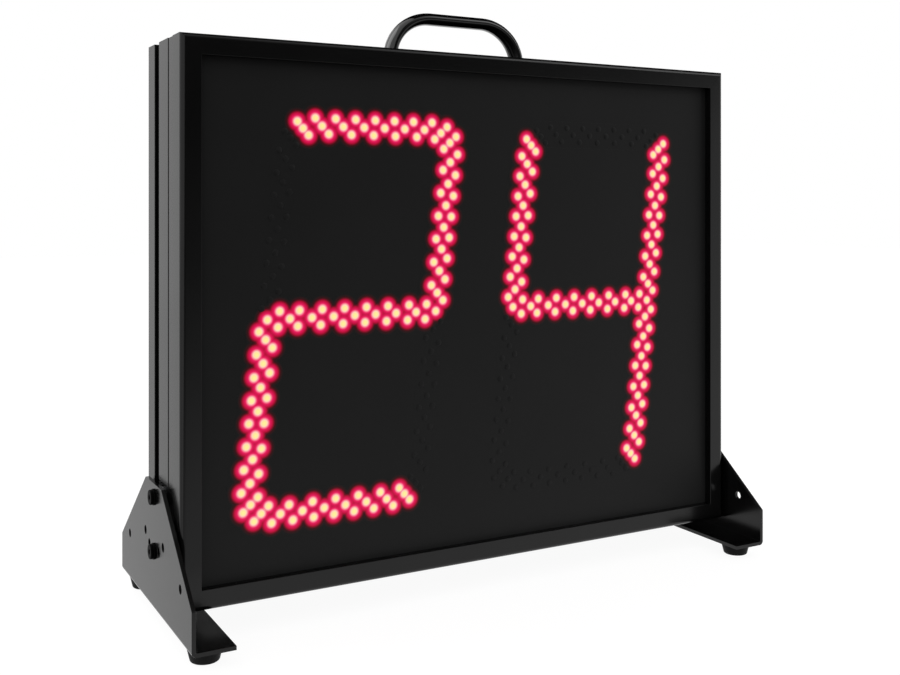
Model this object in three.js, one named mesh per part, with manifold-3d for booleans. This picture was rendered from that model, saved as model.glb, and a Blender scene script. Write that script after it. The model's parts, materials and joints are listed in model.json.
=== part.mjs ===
// Portable shot clock: a shallow cabinet with a two-digit LED display, tilting between two floor brackets.
// Millimetres, +Z up. The display looks along -Y. The origin is on the floor, under the brackets' centre.

import * as THREE from 'three';
import { mergeVertices } from 'three/addons/utils/BufferGeometryUtils.js';
import Module from 'manifold-3d';

const wasm = await Module();
wasm.setup();

// Overall cabinet
const cabinetWidth = 500;
const cabinetHeight = 408;
const cabinetDepth = 92;
const cabinetLift = 23;
const frontToCentre = 57.5;

// Front frame profile, measured back from the front face and in from the outer face
const frameDepth = 33;
const frameStepDepth = 22;
const frameStep = 0.3;
const frameWall = 4;
const frontRound = 4;
const bezelWidth = 15;
const bezelSkin = 2.5;
const bezelLip = 2.5;
const lipRound = 0.8;
const panelRecess = 7;

// Body profile
const bodyWall = 2;
const seamWidth = 1.2;
const seamDepth = 2.5;
const ribWidth = 26.3;
const channelWidth = 12.5;
const channelDepth = 6;
const rearRimWidth = 8;
const coverSeat = 12;
const mitreGap = 0.1;

// Panels and general fits
const panelThickness = 3;
const coverThickness = 2;
const fitGap = 0.3;
const overrun = 1;
const weldDistance = 0.0001;

// Corner blocks
const cornerBlockLeg = 45;
const cornerBlockThickness = 10;

// Digits: seven segments each, three staggered rows of LEDs in a segment
const digitLeftMargin = 28.1;
const digitRightMargin = 45.1;
const digitTopMargin = 41.2;
const digitBottomMargin = 38.4;
const digitGap = 61.2;
const slantShare = 0.115;
const ledRowStep = 5.85;
const ledCornerStep = 5;
const ledCornerEase = 3;
const endCornerInset = 12;
const endRowInset = 25.9;
const endRowStep = 6.1;
const sideCornerGap = 10.5;
const sideRowGap = 24.7;
const sideRowStep = 6.3;
const sideMiddleGap = 8.4;
const sideMiddleStep = 6.1;
const middleRowInset = 5.5;
const middleTipInset = 14.3;
const middleSideInset = 29.8;
const longRowCount = 9;
const rowsInSegment = 3;
const segmentMargin = 5;
const panelWeb = 1.6;
const slotClearance = 0.15;
const ledRadius = 2.5;
const ledHeight = 0.8;
const ledCrownShare = 0.6;
const ledSides = 5;
const boardThickness = 1.6;

// Tilt pivot and brackets
const pivotBehindFront = 55;
const pivotHeight = 94;
const bracketLength = 205;
const bracketAbovePivot = 9.7;
const bracketTopLength = 46;
const bracketEndHeight = 40.7;
const bracketThickness = 3;
const bracketFlange = 30.8;
const bracketBend = 3.5;
const bracketInnerBend = 0.5;
const sideGap = 2;
const indexRadius = 40;
const indexStepDegrees = 20;
const indexStepsEachWay = 2;
const wallHoleEndInset = 28;
const wallHoleHeight = 47.5;
const holeSides = 12;
const smallHoleSides = 8;
const roundingSteps = 3;

// M6 flanged bolts with a hexagon socket
const boltDiameter = 6;
const boltFlangeDiameter = 12;
const boltFlangeThickness = 1.2;
const boltNeckDiameter = 9.6;
const boltNeckLength = 0.4;
const boltHeadDiameter = 11;
const boltHeadThickness = 1.9;
const boltHeadBevel = 0.4;
const boltSocketDiameter = 4.6;
const boltSocketDepth = 1.4;
const boltSides = 14;
const hexagonSides = 6;
const spacerDiameter = 14;

// Side blocks that the bolts screw into
const sideBlockReach = 12;
const sideBlockWidth = 26;
const sideBlockEnd = 11;

// Rubber feet and their screws
const footHeight = 10;
const footTopDiameter = 25;
const footBottomDiameter = 20;
const footRim = 1.2;
const footRound = 1.6;
const footRecessDiameter = 11;
const footRecessDepth = 5;
const footSides = 14;
const footEndInset = 19;
const footInset = 9.5;
const footScrewDiameter = 5;
const footScrewHeadDiameter = 9;
const footScrewHeadHeight = 3;

// Carrying handle
const handleCentres = 123;
const handleThickness = 10;
const handleDepth = 17;
const handleCorner = 4;
const handleRise = 34;
const handleLeg = 2;
const handleBehindFront = 53.7;
const handleSteps = 24;
const handleScrewDiameter = 5;
const handleScrewGrip = 9;
const handleScrewHeadDiameter = 9;
const handleScrewHeadHeight = 3.5;

// Domed screws
const screwCrownShare = 0.6;

// Rear cover
const coverScrewInset = 60;
const coverScrewDiameter = 4;
const coverScrewHeadDiameter = 8;
const coverScrewHeadHeight = 2.4;
const coverScrewLength = 8;
const standoffDiameter = 6;
const standoffLength = 8;

// Horn, with its slots in the cover
const hornFromLeft = 110;
const hornAboveBase = 96;
const hornDiameter = 66;
const hornLength = 24;
const hornMagnetDiameter = 38;
const hornMagnetLength = 10;
const hornCavityDiameter = 50;
const hornCavityDepth = 8;
const hornSlotCount = 5;
const hornSlotWidth = 3;
const hornSlotPitch = 8;
const hornSlotLength = 40;

// Controller board
const controllerX = -60;
const controllerAboveBase = 255;
const controllerWidth = 130;
const controllerHeight = 90;
const controllerHoleInset = 6;
const chipSize = 18;
const chipThickness = 2;
const connectorWidth = 26;
const connectorHeight = 9;
const connectorThickness = 10;
const capacitorDiameter = 13;
const capacitorLength = 16;
const capacitorPitch = 18;

// Power supply
const supplyFromRight = 130;
const supplyAboveBase = 215;
const supplyWidth = 78;
const supplyHeight = 150;
const supplyThickness = 30;
const supplyVentCount = 7;
const supplyVentPitch = 12;
const supplyVentWidth = 4;
const supplyVentLength = 52;
const supplyVentDepth = 1.2;
const terminalHeight = 11;
const terminalThickness = 14;

// Mains inlet with its rocker switch
const inletFromRight = 100;
const inletAboveBase = 62;
const inletWidth = 58;
const inletHeight = 31;
const inletFlange = 2;
const inletChamfer = 3;
const inletBodyMargin = 3;
const inletBodyDepth = 22;
const socketOffset = -11;
const socketWidth = 25;
const socketHeight = 17;
const socketChamfer = 4;
const socketDepth = 16;
const pinWidth = 2;
const pinHeight = 4;
const pinLength = 12;
const pinPitch = 7;
const earthPinRise = 4;
const livePinDrop = 1;
const wellOffset = 16;
const wellWidth = 15;
const wellHeight = 22;
const wellDepth = 9;
const rockerGap = 0.4;
const rockerTiltDegrees = 8;
const rockerAxisDepth = 2;
const rockerHalfHeight = 9.6;
const rockerEndRise = 2;
const rockerMiddleRise = 0.6;
const rockerSkirt = 3.5;
const rockerPinDiameter = 2.4;
const rockerPinReach = 1;

// Derived places
const halfWidth = cabinetWidth / 2;
const halfHeight = cabinetHeight / 2;
const frontY = -frontToCentre;
const rearY = frontY + cabinetDepth;
const cabinetTop = cabinetLift + cabinetHeight;
const cabinetMiddle = cabinetLift + halfHeight;
const pivotY = frontY + pivotBehindFront;
const plateOuter = halfWidth + sideGap + bracketThickness;
const panelFrontY = frontY + panelRecess;
const panelBackY = panelFrontY + panelThickness;
const seamEnd = frameDepth + seamWidth;
const channelStart = seamEnd + ribWidth;
const channelEnd = channelStart + channelWidth;
const neckWall = seamDepth + bodyWall;
const coverSeatY = rearY - coverThickness;
const clearHole = (diameter) => diameter / 2 + fitGap;
const footX = halfWidth - footInset;
const bracketTopHeight = pivotHeight + bracketAbovePivot;
const footSpacing = bracketLength - 2 * footEndInset;
const wallHoleSpacing = bracketLength - 2 * wallHoleEndInset;
const nutFace = halfWidth - channelDepth - bodyWall - fitGap;
const pivotShank = plateOuter - nutFace + sideBlockReach;
const lockShank = plateOuter - halfWidth - fitGap;
const root2 = Math.SQRT2;

// Digits fill the window inside the bezel, less their margins and the gap between them
const windowHalfWidth = halfWidth - bezelWidth;
const windowHalfHeight = halfHeight - bezelWidth;
const digitHalfHeight = windowHalfHeight - (digitTopMargin + digitBottomMargin) / 2;
const digitMiddle = cabinetMiddle - (digitTopMargin - digitBottomMargin) / 2;
const slantReach = slantShare * digitHalfHeight;
const digitsWidth = 2 * windowHalfWidth - digitLeftMargin - digitRightMargin;
const digitHalfWidth = (digitsWidth - digitGap - 2 * slantReach) / 4;
const middleRowHalfSpan = digitHalfWidth - middleRowInset;
const middleTipHalfSpan = digitHalfWidth - middleTipInset;
const middleSideHalfSpan = digitHalfWidth - middleSideInset;
const leftDigitX = digitLeftMargin - windowHalfWidth + slantReach + digitHalfWidth;
const rightDigitX = leftDigitX + 2 * digitHalfWidth + digitGap;

// Places of the inner units, from the sides
const hornX = hornFromLeft - halfWidth;
const supplyX = halfWidth - supplyFromRight;
const inletX = halfWidth - inletFromRight;

// Names and directions of what repeats left and right, low and high, front and rear
const hands = [['left', -1], ['right', 1]];
const levels = [['bottom', -1], ['top', 1]];
const ends = [['front', -1], ['rear', 1]];

// Colours
const blackCoat = { color: 0x1d1d1f, roughness: 0.45, metalness: 0.3 };
const panelBlack = { color: 0x17181a, roughness: 0.3, metalness: 0.0 };
const rubberBlack = { color: 0x141414, roughness: 0.85, metalness: 0.0 };
const boltBlack = { color: 0x0e0e10, roughness: 0.35, metalness: 0.7 };
const litRed = { color: 0xff2040, roughness: 0.4, metalness: 0.0 };
const unlitRed = { color: 0x241214, roughness: 0.4, metalness: 0.0 };
const circuitGreen = { color: 0x14532d, roughness: 0.5, metalness: 0.0 };
const bareAluminium = { color: 0xa6a8ab, roughness: 0.35, metalness: 0.9 };
const cageSteel = { color: 0xc2c4c6, roughness: 0.3, metalness: 0.9 };
const plasticBlack = { color: 0x18181a, roughness: 0.55, metalness: 0.0 };

// Solids: a closed geometry becomes a solid that can be joined and cut, and goes back to a geometry
function solidOf(geometry) {
  const bare = geometry.clone();
  bare.deleteAttribute('normal');
  bare.deleteAttribute('uv');
  const merged = mergeVertices(bare, weldDistance);
  return new wasm.Manifold(new wasm.Mesh({
    numProp: 3,
    vertProperties: new Float32Array(merged.attributes.position.array),
    triVerts: new Uint32Array(merged.index.array),
  }));
}

function geometryOf(solid) {
  const mesh = solid.getMesh();
  const geometry = new THREE.BufferGeometry();
  geometry.setAttribute('position', new THREE.BufferAttribute(mesh.vertProperties, mesh.numProp));
  geometry.setIndex(new THREE.BufferAttribute(mesh.triVerts, 1));
  geometry.computeVertexNormals();
  return geometry;
}

function carved(geometry, cuts) {
  return geometryOf(cuts.reduce((solid, cut) => solid.subtract(solidOf(cut)), solidOf(geometry)));
}

function joined(geometries) {
  const [first, ...rest] = geometries;
  return geometryOf(rest.reduce((solid, next) => solid.add(solidOf(next)), solidOf(first)));
}

function piece(name, geometry, material, [x, y, z] = [0, 0, 0]) {
  const mesh = new THREE.Mesh(geometry, new THREE.MeshStandardMaterial(material));
  mesh.name = name;
  mesh.position.set(x, y, z);
  return mesh;
}

function outline(points) {
  return new THREE.Shape(points.map(([x, y]) => new THREE.Vector2(x, y)));
}

// A shape drawn in X and Z, made solid from its own plane forward, towards -Y
function plate(shape, thickness) {
  const geometry = new THREE.ExtrudeGeometry(shape, { depth: thickness, bevelEnabled: false });
  return geometry.rotateX(Math.PI / 2);
}

function rectangle(width, height) {
  return outline([
    [-width / 2, -height / 2],
    [width / 2, -height / 2],
    [width / 2, height / 2],
    [-width / 2, height / 2],
  ]);
}

// A range of X on the right, or the like range on the left
function onSide([near, far], side) {
  return side > 0 ? [near, far] : [-far, -near];
}

// A block that spans the given X, Y and Z ranges
function block([x0, x1], [y0, y1], [z0, z1]) {
  const geometry = new THREE.BoxGeometry(x1 - x0, y1 - y0, z1 - z0);
  return geometry.translate((x0 + x1) / 2, (y0 + y1) / 2, (z0 + z1) / 2);
}

// Round bars from one coordinate to another along an axis, through a point of the other two
function rodX(radius, [x0, x1], y, z, sides = holeSides) {
  const geometry = new THREE.CylinderGeometry(radius, radius, x1 - x0, sides).rotateZ(-Math.PI / 2);
  return geometry.translate((x0 + x1) / 2, y, z);
}

function rodY(radius, x, [y0, y1], z, sides = holeSides) {
  const geometry = new THREE.CylinderGeometry(radius, radius, y1 - y0, sides);
  return geometry.translate(x, (y0 + y1) / 2, z);
}

function rodZ(radius, x, y, [z0, z1], sides = holeSides) {
  const geometry = new THREE.CylinderGeometry(radius, radius, z1 - z0, sides).rotateX(Math.PI / 2);
  return geometry.translate(x, y, (z0 + z1) / 2);
}

// A profile of [radius, height] points turned about +Z
function turned(profile, sides) {
  const points = profile.map(([radius, height]) => new THREE.Vector2(radius, height));
  return joined([new THREE.LatheGeometry(points, sides).rotateX(Math.PI / 2)]);
}

// Extruded frame bars: the section lies in (depth behind the front, distance in from the outer face),
// and each end is cut at 45 degrees, where it meets the next bar. The bar lies along X, outer face up.
function mitredBar(section, halfLength) {
  const unitBar = { depth: 1, bevelEnabled: false, curveSegments: roundingSteps };
  const geometry = new THREE.ExtrudeGeometry(section, unitBar);
  const place = geometry.attributes.position;
  for (let i = 0; i < place.count; i += 1) {
    const depth = place.getX(i);
    const inward = place.getY(i);
    const side = 1 - 2 * Math.round(place.getZ(i));
    place.setXYZ(i, side * (halfLength - inward - mitreGap / 2), depth, -inward);
  }
  return geometry;
}

function frameSection() {
  const lipStart = bezelWidth - bezelLip;
  const shape = new THREE.Shape();
  shape.absarc(frontRound, frontRound, frontRound, Math.PI, 1.5 * Math.PI, false);
  shape.lineTo(frameStepDepth, 0);
  shape.lineTo(frameStepDepth, frameStep);
  shape.lineTo(frameDepth, frameStep);
  shape.lineTo(frameDepth, frameWall);
  shape.lineTo(bezelSkin, frameWall);
  shape.lineTo(bezelSkin, lipStart);
  shape.lineTo(panelRecess, lipStart);
  shape.lineTo(panelRecess, bezelWidth);
  shape.absarc(lipRound, bezelWidth - lipRound, lipRound, Math.PI / 2, Math.PI, false);
  return shape;
}

function bodySection() {
  const seat = cabinetDepth - coverThickness;
  const seatEnd = rearRimWidth + coverSeat;
  return outline([
    [frameDepth, seamDepth],
    [seamEnd, seamDepth],
    [seamEnd, 0],
    [channelStart, 0],
    [channelStart, channelDepth],
    [channelEnd, channelDepth],
    [channelEnd, 0],
    [cabinetDepth, 0],
    [cabinetDepth, rearRimWidth],
    [seat, rearRimWidth],
    [seat, seatEnd],
    [seat - bodyWall, seatEnd],
    [seat - bodyWall, bodyWall],
    [channelEnd + bodyWall, bodyWall],
    [channelEnd + bodyWall, channelDepth + bodyWall],
    [channelStart - bodyWall, channelDepth + bodyWall],
    [channelStart - bodyWall, bodyWall],
    [seamEnd + bodyWall, bodyWall],
    [seamEnd + bodyWall, neckWall],
    [frameDepth, neckWall],
  ]);
}

// The four bars of a frame, each carved by the cuts that its side needs
function frameBars(name, section, cuts) {
  const sides = {
    top: { half: halfWidth, turn: 0, at: [0, frontY, cabinetTop] },
    bottom: { half: halfWidth, turn: Math.PI, at: [0, frontY, cabinetLift] },
    left: { half: halfHeight, turn: -Math.PI / 2, at: [-halfWidth, frontY, cabinetMiddle] },
    right: { half: halfHeight, turn: Math.PI / 2, at: [halfWidth, frontY, cabinetMiddle] },
  };
  return Object.entries(sides).map(([side, { half, turn, at }]) => {
    const bar = mitredBar(section, half).rotateY(turn).translate(...at);
    return piece(`${name}_${side}`, carved(bar, cuts[side] ?? []), blackCoat);
  });
}

// Holes of the body bars: handle screws in the top, cover screws top and bottom, bolts in the sides
function bodyCuts() {
  const handleY = frontY + handleBehindFront;
  const seatRange = [coverSeatY - bodyWall - overrun, coverSeatY + overrun];
  const handleHoles = [-1, 1].map((side) => rodZ(clearHole(handleScrewDiameter), side * handleCentres / 2,
    handleY, [cabinetTop - bodyWall - overrun, cabinetTop + overrun], smallHoleSides));
  const coverHoles = (level) => [-1, 1].map((side) => rodY(clearHole(coverScrewDiameter),
    side * (halfWidth - coverScrewInset), seatRange, coverScrewLevel(level), smallHoleSides));
  const boltReach = [halfWidth - bodyWall - overrun, halfWidth + overrun];
  const boltHoles = (side) => [pivotHeight, pivotHeight - indexRadius]
    .map((z) => rodX(clearHole(boltDiameter), onSide(boltReach, side), pivotY, z));
  return {
    top: [...handleHoles, ...coverHoles(1)],
    bottom: coverHoles(-1),
    left: boltHoles(-1),
    right: boltHoles(1),
  };
}

function coverScrewLevel(side) {
  return cabinetMiddle + side * (halfHeight - rearRimWidth - coverSeat / 2);
}

// L-shaped blocks that square the corners, hold the front frame to the body and back the panel
function cornerBlocks() {
  const near = neckWall + fitGap;
  const depthRange = [panelBackY, frontY + seamEnd + bodyWall - fitGap];
  return levels.flatMap(([level, up]) => hands.map(([hand, out]) => {
    const shape = outline([
      [0, 0],
      [cornerBlockLeg, 0],
      [cornerBlockLeg, cornerBlockThickness],
      [cornerBlockThickness, cornerBlockThickness],
      [cornerBlockThickness, cornerBlockLeg],
      [0, cornerBlockLeg],
    ].map(([x, z]) => [out * (halfWidth - near - x), up * (halfHeight - near - z)]));
    const geometry = plate(shape, depthRange[1] - depthRange[0]);
    const at = [0, depthRange[1], cabinetMiddle];
    return piece(`corner_block_${level}_${hand}`, geometry, bareAluminium, at);
  }));
}

// Evenly spaced values from first to last
function spread(first, last, count) {
  return Array.from({ length: count }, (_, i) => first + (last - first) * i / (count - 1));
}

// Segments before the slant, seen from the front: a top, b and c right, d bottom, e and f left, g middle
const segmentKinds = {
  a: { form: 'end', x: 1, z: 1 },
  b: { form: 'side', x: 1, z: 1 },
  c: { form: 'side', x: 1, z: -1 },
  d: { form: 'end', x: 1, z: -1 },
  e: { form: 'side', x: -1, z: -1 },
  f: { form: 'side', x: -1, z: 1 },
  g: { form: 'middle', x: 1, z: 1 },
};

// LED centres of a top segment, an upper right one and the middle one. At a digit's corner the last LED of
// each row stands on a diagonal, a little nearer the digit's middle than its row.
const segmentLeds = {
  end: () => Array.from({ length: rowsInSegment }, (_, row) => {
    const half = digitHalfWidth - endRowInset - row * endRowStep;
    const corner = digitHalfWidth - endCornerInset - row * ledCornerStep;
    const cornerZ = digitHalfHeight - ledCornerEase - row * ledCornerStep;
    const z = digitHalfHeight - row * ledRowStep;
    return [
      ...spread(-half, half, longRowCount - 2 - row).map((x) => [x, z]),
      [-corner, cornerZ],
      [corner, cornerZ],
    ];
  }).flat(),
  side: () => Array.from({ length: rowsInSegment }, (_, row) => {
    const low = sideMiddleGap + row * sideMiddleStep;
    const high = digitHalfHeight - sideRowGap - row * sideRowStep;
    const cornerX = digitHalfWidth - ledCornerEase - row * ledCornerStep;
    const x = digitHalfWidth - row * ledRowStep;
    return [
      ...spread(low, high, longRowCount - 1 - row).map((z) => [x, z]),
      [cornerX, digitHalfHeight - sideCornerGap - row * ledCornerStep],
    ];
  }).flat(),
  middle: () => [
    ...spread(-middleRowHalfSpan, middleRowHalfSpan, longRowCount).map((x) => [x, 0]),
    ...[-ledRowStep, ledRowStep].flatMap((z) => [
      ...spread(-middleSideHalfSpan, middleSideHalfSpan, longRowCount - 3).map((x) => [x, z]),
      [-middleTipHalfSpan, z],
      [middleTipHalfSpan, z],
    ]),
  ],
};

// Outline of a segment, grown by a distance. Its ends keep half the panel's web from the lines where it
// would meet its neighbours: z = x + corner at a digit's corner, x + z = middle beside the middle segment.
const segmentOutlines = {
  lines(grow) {
    const away = panelWeb / 2 + slotClearance - grow;
    const ease = digitHalfWidth - ledCornerEase + digitHalfHeight - sideCornerGap;
    return {
      away,
      slope: away * root2,
      corner: digitHalfHeight - digitHalfWidth,
      middle: (digitHalfWidth + sideMiddleGap + middleRowHalfSpan) / 2,
      chamfer: ease + (segmentMargin + grow) * root2,
      band: (rowsInSegment - 1) * ledRowStep + segmentMargin + grow,
      margin: segmentMargin + grow,
    };
  },
  end(grow) {
    const { slope, corner, chamfer, band, margin } = segmentOutlines.lines(grow);
    const outer = digitHalfHeight + margin;
    const inner = digitHalfHeight - band;
    const tip = (chamfer - corner - slope) / 2;
    const right = [[inner - corner - slope, inner], [tip, chamfer - tip], [chamfer - outer, outer]];
    return [...right, ...right.map(([x, z]) => [-x, z]).reverse()];
  },
  side(grow) {
    const { away, slope, corner, middle, chamfer, band, margin } = segmentOutlines.lines(grow);
    const outer = digitHalfWidth + margin;
    const inner = digitHalfWidth - band;
    const tip = (chamfer - corner + slope) / 2;
    return [
      [middle + slope - away, away],
      [outer, away],
      [outer, chamfer - outer],
      [tip, chamfer - tip],
      [inner, inner + corner - slope],
      [inner, middle + slope - inner],
    ];
  },
  middle(grow) {
    const { slope, middle, margin } = segmentOutlines.lines(grow);
    const tip = middle - slope;
    const high = ledRowStep + margin;
    const flat = tip - high;
    return [[tip, 0], [flat, high], [-flat, high], [-tip, 0], [-flat, -high], [flat, -high]];
  },
};

// Mirrors a segment's points to their place in the digit and slants them
function placed(points, { x: mirrorX, z: mirrorZ }) {
  return points.map(([x, z]) => [mirrorX * x + slantShare * mirrorZ * z, mirrorZ * z]);
}

const digits = {
  left: { x: leftDigitX, lit: 'abdeg' },
  right: { x: rightDigitX, lit: 'bcfg' },
};

// One domed LED that looks forward, sunk into the segment that carries it
function led(x, z) {
  const profile = [
    [0, -ledHeight],
    [ledRadius, -ledHeight],
    [ledRadius, 0],
    [ledRadius * ledCrownShare, ledHeight],
    [0, ledHeight],
  ];
  return turned(profile, ledSides).rotateX(Math.PI / 2).translate(x, -panelThickness, z);
}

function segmentPieces(hand) {
  const digit = digits[hand];
  return Object.entries(segmentKinds).map(([letter, kind]) => {
    const base = plate(outline(placed(segmentOutlines[kind.form](0), kind)), panelThickness);
    const leds = placed(segmentLeds[kind.form](), kind).map(([x, z]) => led(x, z));
    const material = digit.lit.includes(letter) ? litRed : unlitRed;
    const at = [digit.x, panelBackY, digitMiddle];
    return piece(`${hand}_digit_segment_${letter}`, joined([base, ...leds]), material, at);
  });
}

function digitBoard(hand) {
  const halfSpan = digitHalfWidth + slantReach;
  const board = plate(rectangle(2 * halfSpan, 2 * digitHalfHeight), boardThickness);
  const at = [digits[hand].x, panelBackY + boardThickness, digitMiddle];
  return piece(`${hand}_digit_board`, board, circuitGreen, at);
}

// Black front panel with a slot for each segment
function frontPanel() {
  const inset = frameWall + fitGap;
  const sheet = plate(rectangle(cabinetWidth - 2 * inset, cabinetHeight - 2 * inset), panelThickness);
  const slots = Object.values(digits).flatMap((digit) => Object.values(segmentKinds).map((kind) => {
    const slot = outline(placed(segmentOutlines[kind.form](slotClearance), kind));
    return plate(slot, panelThickness + 2 * overrun)
      .translate(digit.x, overrun, digitMiddle - cabinetMiddle);
  }));
  return piece('front_panel', carved(sheet, slots), panelBlack, [0, panelBackY, cabinetMiddle]);
}

// Rear cover, with the standoffs of the controller board, the horn's slots and the inlet's cut-out
function controllerHoles() {
  const dx = controllerWidth / 2 - controllerHoleInset;
  const dz = controllerHeight / 2 - controllerHoleInset;
  return [[-dx, -dz], [dx, -dz], [dx, dz], [-dx, dz]]
    .map(([x, z]) => [controllerX + x, cabinetLift + controllerAboveBase + z]);
}

function rearCover() {
  const inset = rearRimWidth + fitGap;
  const sheet = plate(rectangle(cabinetWidth - 2 * inset, cabinetHeight - 2 * inset), coverThickness)
    .translate(0, rearY, cabinetMiddle);
  const standoffs = controllerHoles().map(([x, z]) => rodY(standoffDiameter / 2, x,
    [coverSeatY - standoffLength, rearY - coverThickness / 2], z, smallHoleSides));
  const through = [coverSeatY - overrun, rearY + overrun];
  const screwHoles = coverScrewPlaces()
    .map(([x, z]) => rodY(clearHole(coverScrewDiameter), x, through, z, smallHoleSides));
  const slots = spread(-1, 1, hornSlotCount).map((share) => {
    const z = cabinetLift + hornAboveBase + share * hornSlotPitch * (hornSlotCount - 1) / 2;
    const half = hornSlotLength / 2;
    return block([hornX - half, hornX + half], through, [z - hornSlotWidth / 2, z + hornSlotWidth / 2]);
  });
  const halfCut = inletWidth / 2 - inletBodyMargin + fitGap;
  const halfCutHeight = inletHeight / 2 - inletBodyMargin + fitGap;
  const inletZ = cabinetLift + inletAboveBase;
  const inletCut = block([inletX - halfCut, inletX + halfCut], through,
    [inletZ - halfCutHeight, inletZ + halfCutHeight]);
  const cuts = [...screwHoles, ...slots, inletCut];
  return piece('rear_cover', carved(joined([sheet, ...standoffs]), cuts), blackCoat);
}

function coverScrewPlaces() {
  const halfSpacing = halfWidth - coverScrewInset;
  return [-1, 1].flatMap((level) => [-1, 1].map((side) => [side * halfSpacing, coverScrewLevel(level)]));
}

// Screws with a low domed head; the axis runs from the head's underside at 0 down to -length
function domedScrew(diameter, headDiameter, headHeight, length) {
  return turned([
    [0, -length],
    [diameter / 2, -length],
    [diameter / 2, 0],
    [headDiameter / 2, 0],
    [headDiameter / 2, headHeight / 2],
    [headDiameter / 2 * screwCrownShare, headHeight],
    [0, headHeight],
  ], smallHoleSides);
}

function coverScrews() {
  const names = levels.flatMap(([level]) => hands.map(([hand]) => `${level}_${hand}`));
  return coverScrewPlaces().map(([x, z], i) => {
    const geometry = domedScrew(coverScrewDiameter, coverScrewHeadDiameter, coverScrewHeadHeight,
      coverScrewLength).rotateX(-Math.PI / 2);
    return piece(`rear_cover_screw_${names[i]}`, geometry, boltBlack, [x, rearY, z]);
  });
}

function horn() {
  const frontFace = -hornLength;
  const profile = [
    [0, -hornCavityDepth],
    [hornCavityDiameter / 2, 0],
    [hornDiameter / 2, 0],
    [hornDiameter / 2, -hornCavityDepth],
    [hornMagnetDiameter / 2, hornMagnetLength + frontFace],
    [hornMagnetDiameter / 2, frontFace],
    [0, frontFace],
  ];
  const geometry = turned(profile.reverse(), boltSides).rotateX(-Math.PI / 2);
  return piece('horn', geometry, plasticBlack, [hornX, coverSeatY, cabinetLift + hornAboveBase]);
}

function controllerBoard() {
  const back = coverSeatY - standoffLength;
  const front = back - boardThickness;
  const z = cabinetLift + controllerAboveBase;
  const board = block([controllerX - controllerWidth / 2, controllerX + controllerWidth / 2], [front, back],
    [z - controllerHeight / 2, z + controllerHeight / 2]);
  const chip = block([controllerX - chipSize / 2, controllerX + chipSize / 2],
    [front - chipThickness, front + boardThickness / 2], [z - chipSize / 2, z + chipSize / 2]);
  const connectors = [-1, 1].map((side) => {
    const x = controllerX + side * connectorWidth;
    const low = z - controllerHeight / 2;
    return block([x - connectorWidth / 2 + fitGap, x + connectorWidth / 2 - fitGap],
      [front - connectorThickness, front + boardThickness / 2], [low, low + connectorHeight]);
  });
  const capacitors = [-1, 0, 1].map((step) => rodY(capacitorDiameter / 2,
    controllerX + step * capacitorPitch, [front - capacitorLength, front + boardThickness / 2],
    z + controllerHeight / 2 - capacitorDiameter));
  return piece('controller_board', joined([board, chip, ...connectors, ...capacitors]), circuitGreen);
}

// Caged power supply on the cover, with vents down its front face and a terminal strip below
function powerSupply() {
  const z = cabinetLift + supplyAboveBase;
  const xRange = [supplyX - supplyWidth / 2, supplyX + supplyWidth / 2];
  const face = coverSeatY - supplyThickness;
  const low = z - supplyHeight / 2;
  const cage = block(xRange, [face, coverSeatY], [low, z + supplyHeight / 2]);
  const terminals = block(xRange.map((x) => x - Math.sign(x - supplyX) * fitGap),
    [coverSeatY - terminalThickness, coverSeatY], [low - terminalHeight, low + overrun]);
  const vents = spread(-1, 1, supplyVentCount).map((share) => {
    const level = z + share * supplyVentPitch * (supplyVentCount - 1) / 2;
    return block([supplyX - supplyVentLength / 2, supplyX + supplyVentLength / 2],
      [face - overrun, face + supplyVentDepth], [level - supplyVentWidth / 2, level + supplyVentWidth / 2]);
  });
  return piece('power_supply', carved(joined([cage, terminals]), vents), cageSteel);
}

// A rectangle with cut corners, the lower two by their own chamfer
function chamfered(width, height, upper, lower) {
  const [x, z] = [width / 2, height / 2];
  return outline([
    [-x + lower, -z],
    [x - lower, -z],
    [x, -z + lower],
    [x, z - upper],
    [x - upper, z],
    [-x + upper, z],
    [-x, z - upper],
    [-x, -z + lower],
  ]);
}

// Mains inlet: flange outside the cover, body inside, a socket with three pins and a well for the rocker.
// Its own frame has the outside of the flange at y = 0, with the body towards -Y.
function mainsInlet() {
  const flange = plate(chamfered(inletWidth, inletHeight, inletChamfer, inletChamfer), inletFlange);
  const bodyShape = rectangle(inletWidth - 2 * inletBodyMargin, inletHeight - 2 * inletBodyMargin);
  const body = plate(bodyShape, inletBodyDepth);
  const socket = plate(chamfered(socketWidth, socketHeight, socketChamfer, fitGap), socketDepth + overrun)
    .translate(socketOffset, overrun, 0);
  const well = plate(rectangle(wellWidth, wellHeight), wellDepth + overrun)
    .translate(wellOffset, overrun, 0);
  const pinHoleReach = wellWidth / 2 + rockerPinReach + fitGap;
  const pinHole = rodX(rockerPinDiameter / 2 + fitGap,
    [wellOffset - pinHoleReach, wellOffset + pinHoleReach], -rockerAxisDepth, 0);
  const housing = carved(joined([flange, body]), [socket, well, pinHole]);
  const pinPlaces = [[-pinPitch, -livePinDrop], [0, earthPinRise], [pinPitch, -livePinDrop]];
  const pins = pinPlaces.map(([x, z]) => block(
    [socketOffset + x - pinWidth / 2, socketOffset + x + pinWidth / 2],
    [-socketDepth - overrun, pinLength - socketDepth],
    [z - pinHeight / 2, z + pinHeight / 2]));
  const at = [inletX, rearY + inletFlange, cabinetLift + inletAboveBase];
  return piece('mains_inlet', joined([housing, ...pins]), plasticBlack, at);
}

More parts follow.
